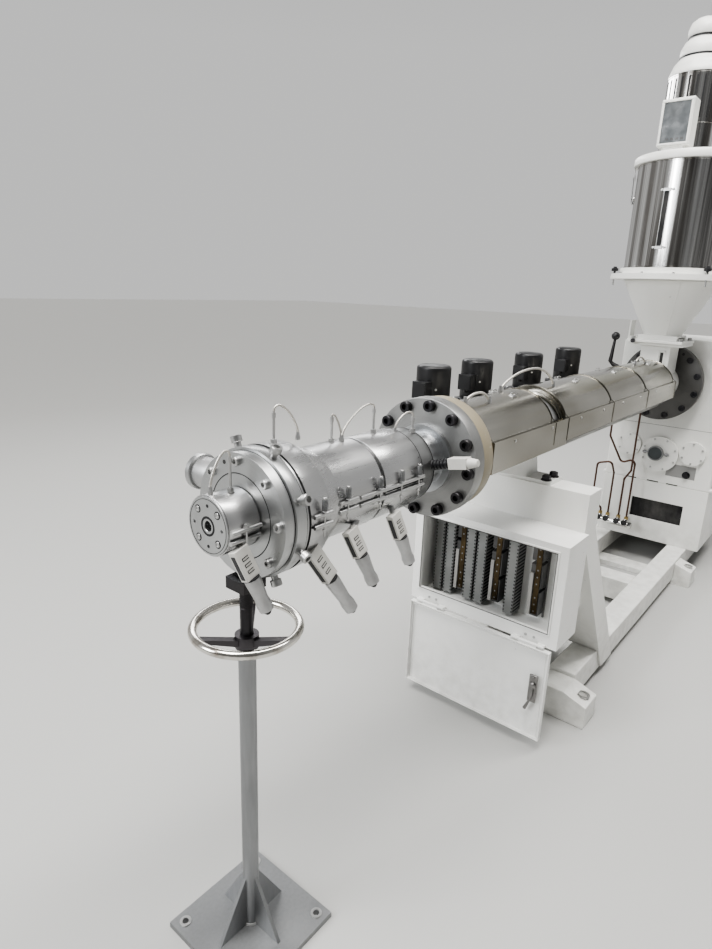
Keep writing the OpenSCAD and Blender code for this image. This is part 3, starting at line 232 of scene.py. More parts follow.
MATS = {
    "white": paint("white_paint", (0.84, 0.84, 0.81), 0.36, 0.22),
    "cabinet": paint("cabinet_paint", (0.83, 0.83, 0.81), 0.40, 0.18),
    "cream": paint("cream_paint", (0.27, 0.235, 0.165), 0.42, 0.9),
    "dark": metal("dark_flange_metal", (0.135, 0.133, 0.13), 0.42, grain=260.0, stained=0.4, patches=7.0),
    "guard": paint("guard_paint", (0.78, 0.55, 0.06), 0.42, 0.30),
    "motor": paint("motor_paint", (0.12, 0.17, 0.22), 0.45, 0.30),
    "turned": turned("turned_steel", (0.50, 0.51, 0.52), 0.28),
    "flange": turned("flange_steel", (0.33, 0.33, 0.325), 0.42),
    "die": turned("die_steel", (0.47, 0.475, 0.475), 0.31),
    "bolt": metal("black_bolt_steel", (0.045, 0.045, 0.05), 0.38, grain=300.0, tint=(0.09, 0.08, 0.07)),
    "bright_bolt": metal("bright_bolt_steel", (0.52, 0.52, 0.515), 0.30, grain=80.0, stained=0.15),
    "cover": sheet_steel("cover_stainless", (0.53, 0.515, 0.47), (0.215, 0.20, 0.16), 0.17, 0.85),
    "under": sheet_steel("lower_cover_steel", (0.30, 0.295, 0.29), (0.16, 0.15, 0.14), 0.3),
    "mirror": streaked("dryer_stainless", (0.50, 0.49, 0.47)),
    "band": metal("heater_band_steel", (0.53, 0.53, 0.53), 0.27, (0.05, 1, 1), 160.0, (0.38, 0.38, 0.38),
                  0.40),
    "chrome": metal("chrome_plate", (0.72, 0.72, 0.71), 0.12, grain=60.0, tint=(0.42, 0.39, 0.35),
                    stained=0.4, bump=0.02),
    "wheel": wheel_look("hand_wheel_chrome", WHEEL.x, WHEEL_RIM_R),
    "copper": metal("dull_copper", (0.12, 0.07, 0.055), 0.40, grain=90.0, tint=(0.07, 0.05, 0.04),
                    stained=0.6),
    "brass": metal("brass_fitting", (0.55, 0.42, 0.20), 0.30, grain=120.0),
    "alu": metal("cast_aluminium", (0.50, 0.50, 0.50), 0.40, grain=120.0, stained=0.3),
    "ceramic": plastic("white_ceramic", (0.62, 0.61, 0.575), 0.40, 0.04),
    "fan": plastic("fan_black", (0.010, 0.010, 0.011), 0.36, 0.01, dusty=0.0),
    "black": plastic("black_plastic", (0.016, 0.016, 0.018), 0.40, dusty=0.06),
    "duct": plastic("wiring_duct_grey", (0.235, 0.24, 0.235), 0.50),
    "switch": plastic("switchgear_grey", (0.075, 0.075, 0.075), 0.45),
    "bar": metal("brown_busbar", (0.10, 0.075, 0.042), 0.32, (1, 1, 0.2), 60.0, (0.03, 0.024, 0.018), 0.95,
                 patches=26.0),
    "pale": plastic("pale_cover", (0.40, 0.395, 0.375), 0.42),
    "post": metal("grey_post_steel", (0.30, 0.305, 0.31), 0.40, (1, 1, 0.1), 120.0, stained=0.3),
    "braid": metal("braided_sleeve", (0.62, 0.60, 0.56), 0.40, grain=1500.0, bump=0.4),
    "back": metal("mounting_plate", (0.20, 0.20, 0.195), 0.42, grain=50.0, stained=0.35),
    "screen": plastic("panel_glass", (0.050, 0.058, 0.062), 0.32, 0.0, dusty=0.12),
    "grey": paint("pocket_grey", (0.28, 0.28, 0.275), 0.5, 0.3),
    # Painted shade: the dark colour put in seams, holes, slits, slots and windows, where only shade is seen.
    "painted_shade": plastic("dark_painted_shade", (0.010, 0.010, 0.011), 0.7),
}

NODE_MATS = {
    "white": "rails cross_members foot_beams front_stand barrel_bracket gearbox bearing_covers gear_stand "
             "motor_stand feed_throat hopper_base hopper_cone hopper_gate dryer_lid dryer_control fan_cap",
    "cabinet": "cabinet_shell cabinet_door",
    "duct": "wiring_ducts",
    "switch": "switchgear",
    "turned": "barrel_tube die_adapter",
    "flange": "barrel_flange",
    "die": "die_body die_ring die_nose",
    "alu": "side_inlet",
    "post": "jack_post",
    "cream": "clamp_ring",
    "cover": "zone_cover_1 zone_cover_2 zone_cover_3 zone_cover_4",
    "under": "lower_covers",
    "fan": "fan_housings fan_motors",
    "dark": "drive_flange",
    "motor": "drive_motor",
    "guard": "coupling_guard",
    "chrome": "cooling_manifold",
    "wheel": "hand_wheel",
    "copper": "cooling_pipes",
    "mirror": "dryer_body dryer_fan",
    "band": "heater_bands",
    "bright_bolt": "centring_bolts",
    "bolt": "jack_screw",
}

for key, names in NODE_MATS.items():
    for name in names.split():
        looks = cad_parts[name].data.materials
        looks.clear()
        looks.append(MATS[key])


# Mesh helpers

SLOTS = {
    "blackened_steel": ("bolt", "bright_bolt", "post", "under"),
    "turned_steel": ("die", "alu"),
    "stainless": ("band", "cover", "back", "mirror"),
    "chrome": ("braid", "chrome"),
    "copper": ("bar", "brass"),
    "fan_black": ("black", "fan", "painted_shade"),
    "switch_grey": ("pale", "switch", "screen"),
    "duct_grey": ("ceramic",),
    "painted_white": ("white", "grey"),
    "cabinet_paint": ("cabinet",),
    "motor_paint": ("motor",),
}
USUAL_SLOT = {mat: slot for slot, mats in SLOTS.items() for mat in mats}


def circle(r, turn):
    """The two coordinates of a point on a circle; turn is a share of a whole turn."""
    return r * math.cos(2 * math.pi * turn), r * math.sin(2 * math.pi * turn)


def beside(x, y, z, r, turn):
    """A point at radius r from an upright axis through x and y."""
    dx, dy = circle(r, turn)
    return x + dx, y + dy, z


def at(x, y, z):
    return Matrix.Translation((x * MM, y * MM, z * MM))


def facing(direction):
    """Turns +Z to a direction."""
    return Vector(direction).to_track_quat("Z", "Y").to_matrix().to_4x4()


def aim(place, direction):
    return at(*place) @ facing(direction)


def polar(x, radius, degrees):
    """A point about the barrel axis; 0 degrees is +Y and 90 is up."""
    y, rise = circle(radius, degrees / 360)
    return x, y, AXIS_Z + rise


def top_z(radius, y):
    """The height of a round surface about the barrel axis, at a distance y from the middle."""
    return AXIS_Z + math.sqrt(radius * radius - y * y)


def oblong(x, y0, z0, y1, z1):
    """The corners of an upright rectangle that faces along X."""
    return [(x, y0, z0), (x, y1, z0), (x, y1, z1), (x, y0, z1)]


def hoop(inner, outer, high, low=0.0):
    """The closed profile of a flat ring."""
    return [(inner, low), (outer, low), (outer, high), (inner, high), (inner, low)]


def link_object(name, data):
    obj = bpy.data.objects.new(name, data)
    bpy.context.scene.collection.objects.link(obj)
    return obj


def add_bevel(obj, width, segments, degrees):
    bevel = obj.modifiers.new("bevel", "BEVEL")
    bevel.width = width * MM
    bevel.segments = segments
    bevel.limit_method = "ANGLE"
    bevel.angle_limit = math.radians(degrees)


class Build:
    """Collects solids of one material into one mesh that rides on one body. All sizes are in millimetres."""

    begun = []

    def __init__(self, name, mat, body="machine", smooth=35, bevel=0.0, slot=None, stands_for=None):
        self.name, self.mat, self.body = name, mat, body
        self.smooth, self.bevel, self.stands_for = smooth, bevel, stands_for
        self.slot = slot or USUAL_SLOT[mat]
        self.bm = bmesh.new()
        Build.begun.append(self)

    def place(self, verts, matrix):
        bmesh.ops.transform(self.bm, matrix=matrix, verts=verts)

    def box(self, low, high, matrix=Matrix.Identity(4)):
        """A box between two corners."""
        low, high = Vector(low), Vector(high)
        size = (high - low) * MM
        verts = bmesh.ops.create_cube(self.bm, size=1.0)["verts"]
        self.place(verts, matrix @ Matrix.Translation((low + high) / 2 * MM) @ Matrix.Diagonal((*size, 1.0)))

    def surround(self, x0, x1, low, high, width):
        """Four bars round an opening that faces along X; low and high are its (y, z) corners."""
        (y0, z0), (y1, z1) = low, high
        out_y0, out_z0, out_y1, out_z1 = y0 - width, z0 - width, y1 + width, z1 + width
        for a, b in (((out_y0, out_z0), (out_y1, z0)), ((out_y0, z1), (out_y1, out_z1)),
                     ((out_y0, z0), (y0, z1)), ((y1, z0), (out_y1, z1))):
            self.box((x0, *a), (x1, *b))

    def skin(self, rows, next_rows, sides):
        """Faces between each row of points and the next; a row of one point is a tip."""
        for a, b in zip(rows, next_rows):
            for k in range(sides):
                m = (k + 1) % sides
                corners = (a[k % len(a)], a[m % len(a)], b[m % len(b)], b[k % len(b)])
                corners = [v for i, v in enumerate(corners) if v not in corners[:i]]
                if len(corners) > 2:
                    self.bm.faces.new(corners)

    def lathe(self, profile, matrix, sides=32):
        """A profile of (radius, height), turned about Z; an open one is drawn in to the axis at its ends."""
        if profile[0] != profile[-1]:
            start, end = ([(0, h)] if r else [] for r, h in (profile[0], profile[-1]))
            profile = start + profile + end
        rows = []
        for r, h in profile:
            count = sides if r > 1e-6 else 1
            rows.append([self.bm.verts.new((*circle(r * MM, k / sides), h * MM)) for k in range(count)])
        self.skin(rows, rows[1:], sides)
        self.place([v for row in rows for v in row], matrix)

    def disc(self, matrix, r, high=0.4, sides=20, low=0.0):
        """A round plate; with six sides it is a nut."""
        self.lathe([(r, low), (r, high)], matrix, sides)

    def tube(self, points, radius, sides=12, closed=False):
        """A round tube along points; radius is one number or one per point."""
        path = [Vector(p) * MM for p in points]
        radii = radius if isinstance(radius, list) else [radius] * len(path)
        ahead = path[1:] + (path[:1] if closed else path[-1:])
        behind = (path[-1:] if closed else path[:1]) + path[:-1]
        ways = [(b - a).normalized() for a, b in zip(behind, ahead)]
        side = ways[0].orthogonal().normalized()
        rows = []
        for point, way, r in zip(path, ways, radii):
            side = (side - way * side.dot(way)).normalized()
            up = way.cross(side)
            turns = [circle(r * MM, k / sides) for k in range(sides)]
            rows.append([self.bm.verts.new(point + side * a + up * b) for a, b in turns])
        self.skin(rows, rows[1:] + (rows[:1] if closed else []), sides)
        if not closed:
            self.bm.faces.new(rows[0][::-1])
            self.bm.faces.new(rows[-1])

    def done(self):
        bmesh.ops.recalc_face_normals(self.bm, faces=self.bm.faces)
        mesh = bpy.data.meshes.new(self.name)
        self.bm.to_mesh(mesh)
        self.bm.free()
        obj = link_object(self.name, mesh)
        mesh.materials.append(MATS[self.mat])
        if self.bevel:
            add_bevel(obj, self.bevel, 2, 40)
        mesh.shade_smooth()
        mesh.set_sharp_from_angle(angle=math.radians(self.smooth))
        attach(obj, self.body)
        if self.stands_for:
            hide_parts(self.stands_for)


def socket_screw(build, place, direction, r, h):
    """A socket head screw; place is where the head sits."""
    key = 0.52 * r
    build.lathe([(r, 0), (r, h - 0.12 * r), (0.9 * r, h), (key, h), (0.96 * key, h - 0.1 * r),
                 (0.96 * key, 0.35 * h), (0, 0.3 * h)], aim(place, direction), 24)


def hex_bolt(build, place, direction, across, height, washer=True):
    """A hexagon head, on a washer unless told otherwise."""
    r, matrix = across / math.sqrt(3), aim(place, direction)
    low = 0.18 * height if washer else 0
    if washer:
        build.disc(matrix, 1.25 * r, low, 24)
    high = low + height
    build.lathe([(r, low), (r, high - 0.15 * height), (0.86 * r, high)], matrix, 6)


# Die head

NOSE, RINGS, CORE = Span("die_nose"), Span("die_ring"), Span("die_body")
FRONT_RING_R, MAIN_RING_R, STRETCH_R, CORE_R, BAND_R, NOSE_BAND_R = 120, 126, 124, 90, 97, 57
FRONT_RING_T = 23
RING_CIRCLE_R, NOSE_CIRCLE_R = 104.5, 38
SHOULDER_X0, SHOULDER_X1 = -1135, -1075
BANDS = ((-1319, -1251, NOSE_BAND_R), (-1190, -1137, STRETCH_R + 1.5),
         (-1069, -941, BAND_R), (-929, -789, BAND_R))


def on_face(x, radius, degrees):
    """A place on a face across the barrel axis, turned to the front."""
    return aim(polar(x, radius, degrees), FRONT)


def thin_ring(build, x, r, half_w, proud):
    """A fine ring round the barrel axis, just proud of a surface with radius r."""
    build.lathe(hoop(r - 1, r + proud, half_w, -half_w), aim((x, 0, AXIS_Z), REAR), 72)


def face_ring(build, x, inner, outer):
    """A flat ring on a face that looks to the front."""
    build.lathe(hoop(inner, outer, 0.4), aim((x, 0, AXIS_Z), FRONT), 64)


def die_screws():
    heads = Build("die_ring_screws", "bright_bolt")
    for k in range(8):
        socket_screw(heads, polar(RINGS.x0, RING_CIRCLE_R, 45 * k - 3), FRONT, 9, 8)
    for k in range(4):
        socket_screw(heads, polar(NOSE.x0 - 0.3, NOSE_CIRCLE_R, 45 + 90 * k), FRONT, 5.6, 1.2)


def centring_screws():
    """Seven screws across the main ring; the side inlet takes the eighth place."""
    heads = Build("centring_screws", "bright_bolt", stands_for="centring_bolts")
    profile = [(7, -1), (7, 9), (10.2, 9), (11, 10), (11, 21), (10, 22), (6, 22), (5.7, 21), (5.7, 13),
               (0, 12.5)]
    for k in range(1, 8):
        degrees = 22.5 + 45 * k
        way = (0, *circle(1, degrees / 360))
        heads.lathe(profile, aim(polar(RINGS.x1 - 8.75, MAIN_RING_R, degrees), way), 28)


def die_seams():
    # Painted shade: dark rings in the seams between the die's parts, dark discs in its holes and round the
    # nose screws, and dark strips in the slits under the bands.
    marks = Build("die_seams", "painted_shade", slot="blackened_steel")
    face_ring(marks, RINGS.x0, 81, 82.6)
    face_ring(marks, NOSE.x0, 49.6, 50.6)
    face_ring(marks, NOSE.x0, 14.2, 18.5)
    for k in range(4):
        marks.disc(on_face(NOSE.x0, NOSE_CIRCLE_R, 45 + 90 * k), 7.6, 0.3)
    for degrees in (90, 270):
        marks.disc(on_face(NOSE.x0, NOSE_CIRCLE_R, degrees), 3.2)
    marks.disc(on_face(RINGS.x0, RING_CIRCLE_R, 66), 4.2)
    thin_ring(marks, RINGS.x0 + FRONT_RING_T, FRONT_RING_R, 1.0, 0.6)
    for x, r in ((RINGS.x1 + 1.2, STRETCH_R), (BANDS[1][0] - 1, STRETCH_R + 1.6),
                 (BANDS[2][1] + 1, BAND_R - 1), (BANDS[3][1] + 1.5, BAND_R - 1), (CORE.x1 - 3, CORE_R)):
        thin_ring(marks, x, r, 1.3, 0.5)
    for x0, x1, r in BANDS:
        low, high = polar(0, r, 181.8), polar(0, r, 183.4)
        marks.box((x0 + 2, low[1] - 0.7, high[2]), (x1 - 1, low[1] + 1.0, low[2]))
    bush = Build("outlet_bush", "die")
    bush.lathe([(9.5, -10), (14, -10), (14, 0.2), (10.5, 0.2), (9.5, -1), (9.5, -10)],
               aim((NOSE.x0, 0, AXIS_Z), FRONT), 40)


def inlet_collar():
    inlet = Span("side_inlet")
    collar = Build("inlet_collar", "die")
    collar.lathe([(9.2, 0), (36, 0), (38, 2), (38, 12), (36, 14), (9.2, 14), (9.2, 0)],
                 aim((inlet.x, inlet.y1 - 20, inlet.z), FAR), 40)


def shoulder_band():
    """The sheet of the first heater band, over the front stretch and down the shoulder."""
    sheet = 1.3
    start, end = BANDS[1][0], BANDS[2][1] - 1
    drop, length = STRETCH_R - BAND_R, SHOULDER_X1 - SHOULDER_X0
    outline = [(STRETCH_R + sheet, start), (STRETCH_R + sheet, SHOULDER_X0 - 4),
               (STRETCH_R - 2, SHOULDER_X0 + 1)]
    for degrees in range(20, 100, 10):
        along_x, in_y = circle(1, degrees / 360)
        outline.append((BAND_R + sheet + drop * (1 - in_y), SHOULDER_X0 + length * (1 - along_x)))
    outline += [(BAND_R + sheet, end), (BAND_R - 0.2, end), (BAND_R - 0.2, SHOULDER_X1),
                (STRETCH_R - 0.2, SHOULDER_X0 - 4), (STRETCH_R - 0.2, start), outline[0]]
    shell = Build("shoulder_band", "band", smooth=50)
    shell.lathe(outline, at(0, 0, AXIS_Z) @ Matrix.Rotation(math.radians(90), 4, "Y"), 96)


def band_clamps():
    """Two rods along each heater band, drawn together by spring bolts."""
    rods = Build("band_rods", "bright_bolt")
    springs = Build("band_springs", "post")
    rod_r, coil_r, coil_rise, coil_turns, steps = 4.2, 5.2, 24, 8, 12
    for x0, x1, r, (upper, lower), stations in (
            (-1320, -1252, NOSE_BAND_R, (1001, 982), ()),
            (-1186, -1138, STRETCH_R + 1.5, (1014, 994), (-1160,)),
            (-1086, -1030, BAND_R + 1.5, (1008, 990), (-1062,)),
            (-1022, -944, BAND_R + 1.5, (1006, 989), (-958,)),
            (-962, -792, BAND_R, (1004, 986), (-880, -813))):
        for z in (upper, lower):
            y = -math.sqrt(r * r - (z - AXIS_Z) ** 2) - rod_r
            rods.tube([(x0, y, z), (x1, y, z)], rod_r, 16)
        y = -(r + 5.4)
        for x in stations:
            rods.tube([(x, y, lower - 22), (x, y, upper + 32)], 2.2, 12)
            for z in (upper + 29, lower - 12):
                hex_bolt(rods, (x, y, z), UP, 7, 4, washer=False)
            count = steps * coil_turns
            springs.tube([beside(x, y, upper + 5 + coil_rise * t / count, coil_r, t / steps)
                          for t in range(count + 1)], 1.0, 6)
    x, y = -1287, -62
    rods.tube([(x, y, 968), (x, y, 1009)], 2.4, 12)
    hex_bolt(rods, (x, y, 1005), UP, 9, 6)


def die_probes():
    """Straight probes on the die head; each stem is stiff and bends over to a gland of its own."""
    posts = Build("probe_posts", "bright_bolt", slot="chrome")
    stems = Build("probe_stems", "braid")
    post_r, stem_r, steps = 2.7, 2.3, 20
    for x, y, r, height, reach, lean, rise in (
            (-1277, -9, NOSE_BAND_R, 66, 36, 10, 18), (-1167, -4, MAIN_RING_R, 61, -58, -6, 18),
            (-991, 7, BAND_R, 56, -22, -8, 8), (-853, 3, BAND_R, 58, 120, -10, 18),
            (-738, -25, CORE_R, 38, 58, 8, 16)):
        z = top_z(r, y)
        top = z + height
        hex_bolt(posts, (x, y, z - 1), UP, 11, 8)
        posts.tube([(x, y, z), (x, y, top)], post_r, 14)
        posts.tube([(x, y, top - 12), (x, y, top - 2)], post_r + 1.2, 14)
        end_x, end_y = x - reach, y + lean
        end_z = top_z(r, end_y)
        points = [(x, y, top - 6)]
        for k in range(steps + 1):
            half_turn = math.pi * k / steps
            t = (1 - math.cos(half_turn)) / 2
            fall = (end_z + 14 - top) * t ** 1.5
            points.append((x - reach * t, y + lean * t, top + rise * math.sin(half_turn) + fall))
        stems.tube(points + [(end_x, end_y, end_z + 4)], stem_r, 10)
        posts.lathe([(5, 0), (5, 8), (3.4, 10), (3.4, 16)], at(end_x, end_y, end_z - 1), 6)


REAR_WAY = Vector(REAR)


def along(start, end):
    """Turns Z to the way from start to end, with X kept in view from the near side."""
    start, end = Vector(start), Vector(end)
    z = (end - start).normalized()
    x = (REAR_WAY - z * REAR_WAY.dot(z)).normalized()
    return at(*start) @ Matrix((x, z.cross(x), z)).transposed().to_4x4()


def heater_plugs():
    """Ceramic terminal blocks under the bands, each with its cast plug; the leads are left out."""
    blocks = Build("plug_terminal_boxes", "ceramic", bevel=1.2)
    shells = Build("plug_shells", "alu", smooth=50)
    dark = Build("plug_dark_parts", "black")
    block_w, block_t = 17, 9
    for root, start, end in (((-1288, -50, 965), (-1303, -60, 965), (-1268, -92, 850)),
                             ((-1150, -96, 925), (-1172, -112, 938), (-1097, -150, 806)),
                             ((-1000, -76, 945), (-1052, -104, 942), (-1017, -140, 830)),
                             ((-880, -76, 945), (-906, -104, 938), (-873, -130, 826))):
        leg = along(start, end)
        length = (Vector(end) - Vector(start)).length
        shells.tube([root, start], 7, 14)
        blocks.box((-block_w, -block_t, -6), (block_w, block_t, length * 0.44), leg)
        for side in (-1, 1):
            y = side * (block_t + 0.3)
            for k in range(3):
                z = length * (0.09 + 0.10 * k)
                for x0, x1, low, high in ((-7, 7, 0, 1.2), (-7, 7, 5, 6.2), (-7.8, -6.6, 0, 6.2)):
                    dark.box((x0, y - 0.3, z + low), (x1, y + 0.3, z + high), leg)
            x = side * (block_w + 0.2)
            dark.box((x - 0.4, -5, 2), (x + 0.4, 5, length * 0.40), leg)
        dark.disc(leg @ at(0, 0, length * 0.44), 14.6, 2.4, 24)
        shells.lathe([(15, 0), (15.5, 6), (13.2, length * 0.28), (12.6, length * 0.34),
                      (14.5, length * 0.44), (13.5, length * 0.54)], leg @ at(0, 0, length * 0.46), 28)
        dark.lathe([(7.5, 0), (7.5, 5), (4.2, 9)], leg @ at(0, 0, length), 20)
        dark.disc(leg @ aim((0, -13.2, length * 0.72), NEAR), 2.6, 1, 14)
    gland, gland_end, plug_end = (-740, -92, 1018), (-740, -138, 1032), (-740, -208, 1046)
    turn = along(gland, gland_end)
    for k in range(5):
        dark.lathe([(12.5, 0), (12.5, 5), (9.5, 6), (9.5, 9)], turn @ at(0, 0, 9.4 * k), 24)
    turn = along(gland_end, plug_end)
    blocks.box((-14, -13, 0), (14, 13, 48), turn)
    blocks.lathe([(13, 0), (8, 24)], turn @ at(0, 0, 48), 24)


# Barrel and its covers

FLANGE, DRIVE = Span("barrel_flange"), Span("drive_flange")
COVERS = [Span(f"zone_cover_{number}") for number in (1, 2, 3, 4)]
COVER_R, COVER_SHOULDER_Z = 125, 1040
FLANGE_CIRCLE_R, DRIVE_CIRCLE_R = 137, 169


def flange_screws():
    heads = Build("flange_screws", "bolt")
    for k in range(12):
        socket_screw(heads, polar(FLANGE.x0, FLANGE_CIRCLE_R, 35.5 + 30 * k), FRONT, 14.5, 15)
        socket_screw(heads, polar(DRIVE.x0, DRIVE_CIRCLE_R, 15 + 30 * k), FRONT, 15, 9)
    heads.disc(on_face(DRIVE.x0, DRIVE_CIRCLE_R, 120), 7)
    bracket = Span("barrel_bracket")
    for side in (-1, 1):
        for x in (bracket.x1 - 78, bracket.x1 - 22):
            hex_bolt(heads, (x, side * 104, bracket.z0 + 12), UP, 24, 14)


def cover_edges():
    """Folded edges of the covers, the ledge over their sides and the strap across the first gap."""
    seams = Build("cover_edges", "cover")
    gap_x0, gap_x1 = -117, COVERS[1].x0
    side_y, ledge_y, ledge_z = COVERS[0].y1 + 0.5, 119, COVER_SHOULDER_Z + 0.5
    ends = [(COVERS[0].x0 + 1, gap_x0 - 1)] + [(cover.x0 + 1, cover.x1 - 1) for cover in COVERS[1:]]
    for x0, x1 in ends:
        for x in (x0, x1):
            arc = [polar(x, COVER_R + 1.2, a) for a in range(19, 163, 6)]
            seams.tube([(x, side_y, ledge_z - 2.5)] + arc
                       + [(x, -side_y, ledge_z - 2.5), (x, -side_y, COVERS[1].z0 + 2)], 1.3, 8)
        for y in (-ledge_y, ledge_y):
            seams.tube([(x0, y, ledge_z), (x1, y, ledge_z)], 1.0, 8)
    span = gap_x1 - gap_x0 - 30
    seams.tube([polar(gap_x0 + 12 + span * (a - 20) / 140, 110.5, a) for a in range(20, 161, 5)], 3.2, 8)


def cover_latches():
    """Wire latches along the top of the covers, and rivets in their sides."""
    latches = Build("cover_latches", "bright_bolt", bevel=0.4, slot="stainless")
    half_wire = [(-8, 5, 3), (0, 6, 8), (12, 5, 9), (26, 4, 4)]
    wire = half_wire + [(x, -y, z) for x, y, z in reversed(half_wire)]
    for x in (-236, 250, 655, 1120):
        for y in (-34, 34):
            top = Vector((x, y, top_z(COVER_R, y)))
            lean = Matrix.Rotation(math.atan2(-y, top.z - AXIS_Z), 4, "X")
            matrix = at(*top) @ lean
            latches.box((-13, -7, -0.5), (13, 7, 1.6), matrix)
            latches.lathe([(3.4, 0), (3.0, 4), (0, 4.4)], matrix @ at(-9, 0, 1), 12)
            latches.tube([top + lean @ Vector(corner) for corner in wire], 1.3, 8, closed=True)
    for cover in COVERS:
        for side in (-1, 1):
            for share in (0.25, 0.75):
                x = cover.x0 + share * (cover.x1 - cover.x0)
                latches.disc(aim((x, side * cover.y1, 1026), (0, side, 0)), 4.2, 1.6)


def cover_probes():
    """Stiff braided stems, each bent over from one gland on the covers to another."""
    stems = Build("cover_probe_stems", "braid")
    glands = Build("cover_probe_ends", "bright_bolt", slot="chrome")
    steps = 28
    for start, end, height in (((-388, -38, 1120), (-478, -14, 1125), 26),
                               ((62, -32, 1121), (-190, 30, 1122), 62),
                               ((1004, -10, 1125), (1110, -20, 1123), 30)):
        points = []
        for k in range(steps + 1):
            t = k / steps
            bow = 1.25 * t if t < 0.4 else 0.5 + (t - 0.4) / 1.2
            rise = height * math.sin(math.pi * min(1.0, bow)) ** 0.6
            points.append(Vector(start).lerp(Vector(end), t) + rise * Vector(UP))
        stems.tube(points, 3.8, 12)
        for place in (start, end):
            glands.lathe([(7, -4), (7, 6), (5, 9), (5, 16)], at(*place), 6)


# Cooling fans

FAN_STATIONS, FAN_Y, FAN_MOTOR_R = (-140, 155, 595, 1023), 305, 58
HOUSINGS, FAN_MOTORS = Span("fan_housings"), Span("fan_motors")


def cooling_fans():
    motors = Build("fan_motor_shells", "fan", smooth=50, stands_for="fan_motors")
    trim = Build("fan_trim", "fan", bevel=1.0)
    bright = Build("fan_screws", "bright_bolt")
    base, round_r, screw_circle_r = HOUSINGS.z1, 12, 78
    tall = FAN_MOTORS.z1 - base
    shell = [(FAN_MOTOR_R - 1, 0), (FAN_MOTOR_R, 2), (FAN_MOTOR_R, tall - 14)]
    for degrees in range(10, 91, 10):
        across, rise = circle(round_r, degrees / 360)
        shell.append((FAN_MOTOR_R - round_r + across, tall - 14 + rise))
    shell += [(30, tall - 0.5), (0, tall)]
    for x in FAN_STATIONS:
        trim.lathe([(62, 0), (62, 7), (58, 9)], at(x, FAN_Y, base), 48)
        motors.lathe(shell, at(x, FAN_Y, base), 64)
        trim.box((x - 86, FAN_Y - 27, base + 46), (x - 50, FAN_Y + 27, base + 102))
        trim.box((x - 87.5, FAN_Y - 24, base + 49), (x - 86, FAN_Y + 24, base + 99))
        for k in range(6):
            hex_bolt(bright, beside(x, FAN_Y, base, screw_circle_r, k / 6), UP, 8, 5)
        dx, dy = circle(FAN_MOTOR_R, 222 / 360)
        plug = aim((x + dx, FAN_Y + dy, base + 76), (dx, dy, 0))
        bright.lathe([(4, 0), (3.2, 2), (0, 2.4)], plug, 16)
        trim.tube([(x - 70, FAN_Y, base + 48), (x - 70, FAN_Y, base + 36)], 8, 16)


# Cabinet and its door

SHELL, DOOR, DUCTS, GEAR = spans("cabinet_shell cabinet_door wiring_ducts switchgear")
CABINET_FRONT = FLANGE.x0 + 400
OPENING_Y, OPENING_Z0, OPENING_Z1 = SHELL.y1 - 31, SHELL.z1 - 294, SHELL.z1 - 25
DUCT_YS, DUCT_HALF = (220, 178, 98, 56, -58), 17
GEAR_YS, GEAR_PITCH, GEAR_TALL = (138, 3, -138), 96, 84


def duct_slots():
    # Painted shade: dark strips where the ducts' slots open, standing for the shade inside.
    slots = Build("duct_slots", "painted_shade", slot="duct_grey")
    count, pitch, tall, notch, half_t = 24, 12.4, 5.6, 5, 0.3
    for y in DUCT_YS:
        y0, y1 = y - DUCT_HALF, y + DUCT_HALF
        for k in range(count):
            z = DUCTS.z0 + 8 + pitch * k
            for wall_y in (y0, y1):
                slots.box((DUCTS.x0 + 5, wall_y - half_t, z), (DUCTS.x1 - 4, wall_y + half_t, z + tall))
            for low_y in (y1 - notch, y0):
                slots.box((DUCTS.x0 - half_t, low_y, z), (DUCTS.x0 + half_t, low_y + notch, z + tall))


def switchgear():
    """Rails behind the switchgear, and on each unit a brown bar, a pale side cover and its screws."""
    rails = Build("mounting_rails", "back", bevel=0.4)
    bars = Build("switchgear_bars", "bar", bevel=0.6)
    covers = Build("switchgear_covers", "pale", bevel=0.8)
    fronts = Build("switchgear_fronts", "switch", bevel=0.8)
    screws = Build("switchgear_screws", "post")
    front, back = GEAR.x0, GEAR.x0 + 0.5
    for y in GEAR_YS:
        for rail_y in (y - 21, y + 21):
            rails.box((-106, rail_y - 3, GEAR.z0 - 18), (-100, rail_y + 3, GEAR.z1 + 10))
        bars.box((front - 4, y - 15, GEAR.z0 + 8), (back, y + 3, GEAR.z1 - 8))
        covers.box((front - 7, y + 6, GEAR.z0 + 2), (back, y + 18, GEAR.z0 + 150))
        for k in range(3):
            z = GEAR.z0 + GEAR_PITCH * k
            fronts.box((front - 2, y - 18, z + 1), (back, y + 18, z + 7))
            fronts.box((front - 2, y - 18, z + GEAR_TALL - 8), (back, y + 18, z + GEAR_TALL - 1))
            for rise in (18, 42, 66):
                screws.disc(aim((front - 4, y - 6, z + rise), FRONT), 2.6, 1.4, 14)


def cabinet_trim():
    """The lip and the seal round the opening, and the screws of the panel under it."""
    lip = Build("cabinet_lip", "cabinet", bevel=1.0)
    seal = Build("cabinet_seal", "switch", slot="fan_black")
    screws = Build("cabinet_bolts", "bright_bolt")
    y, z0, z1, x, inset = OPENING_Y, OPENING_Z0, OPENING_Z1, CABINET_FRONT - 4, 1.5
    lip.surround(x, CABINET_FRONT + 1, (-y, z0), (y, z1), 5)
    seal.tube(oblong(x, inset - y, z0 + inset, y - inset, z1 - inset), 1.5, 8, closed=True)
    for screw_y in (-194, -166, 166, 194):
        screws.disc(aim((CABINET_FRONT, screw_y, OPENING_Z0 - 26), FRONT), 4.2, 2.2, 16)


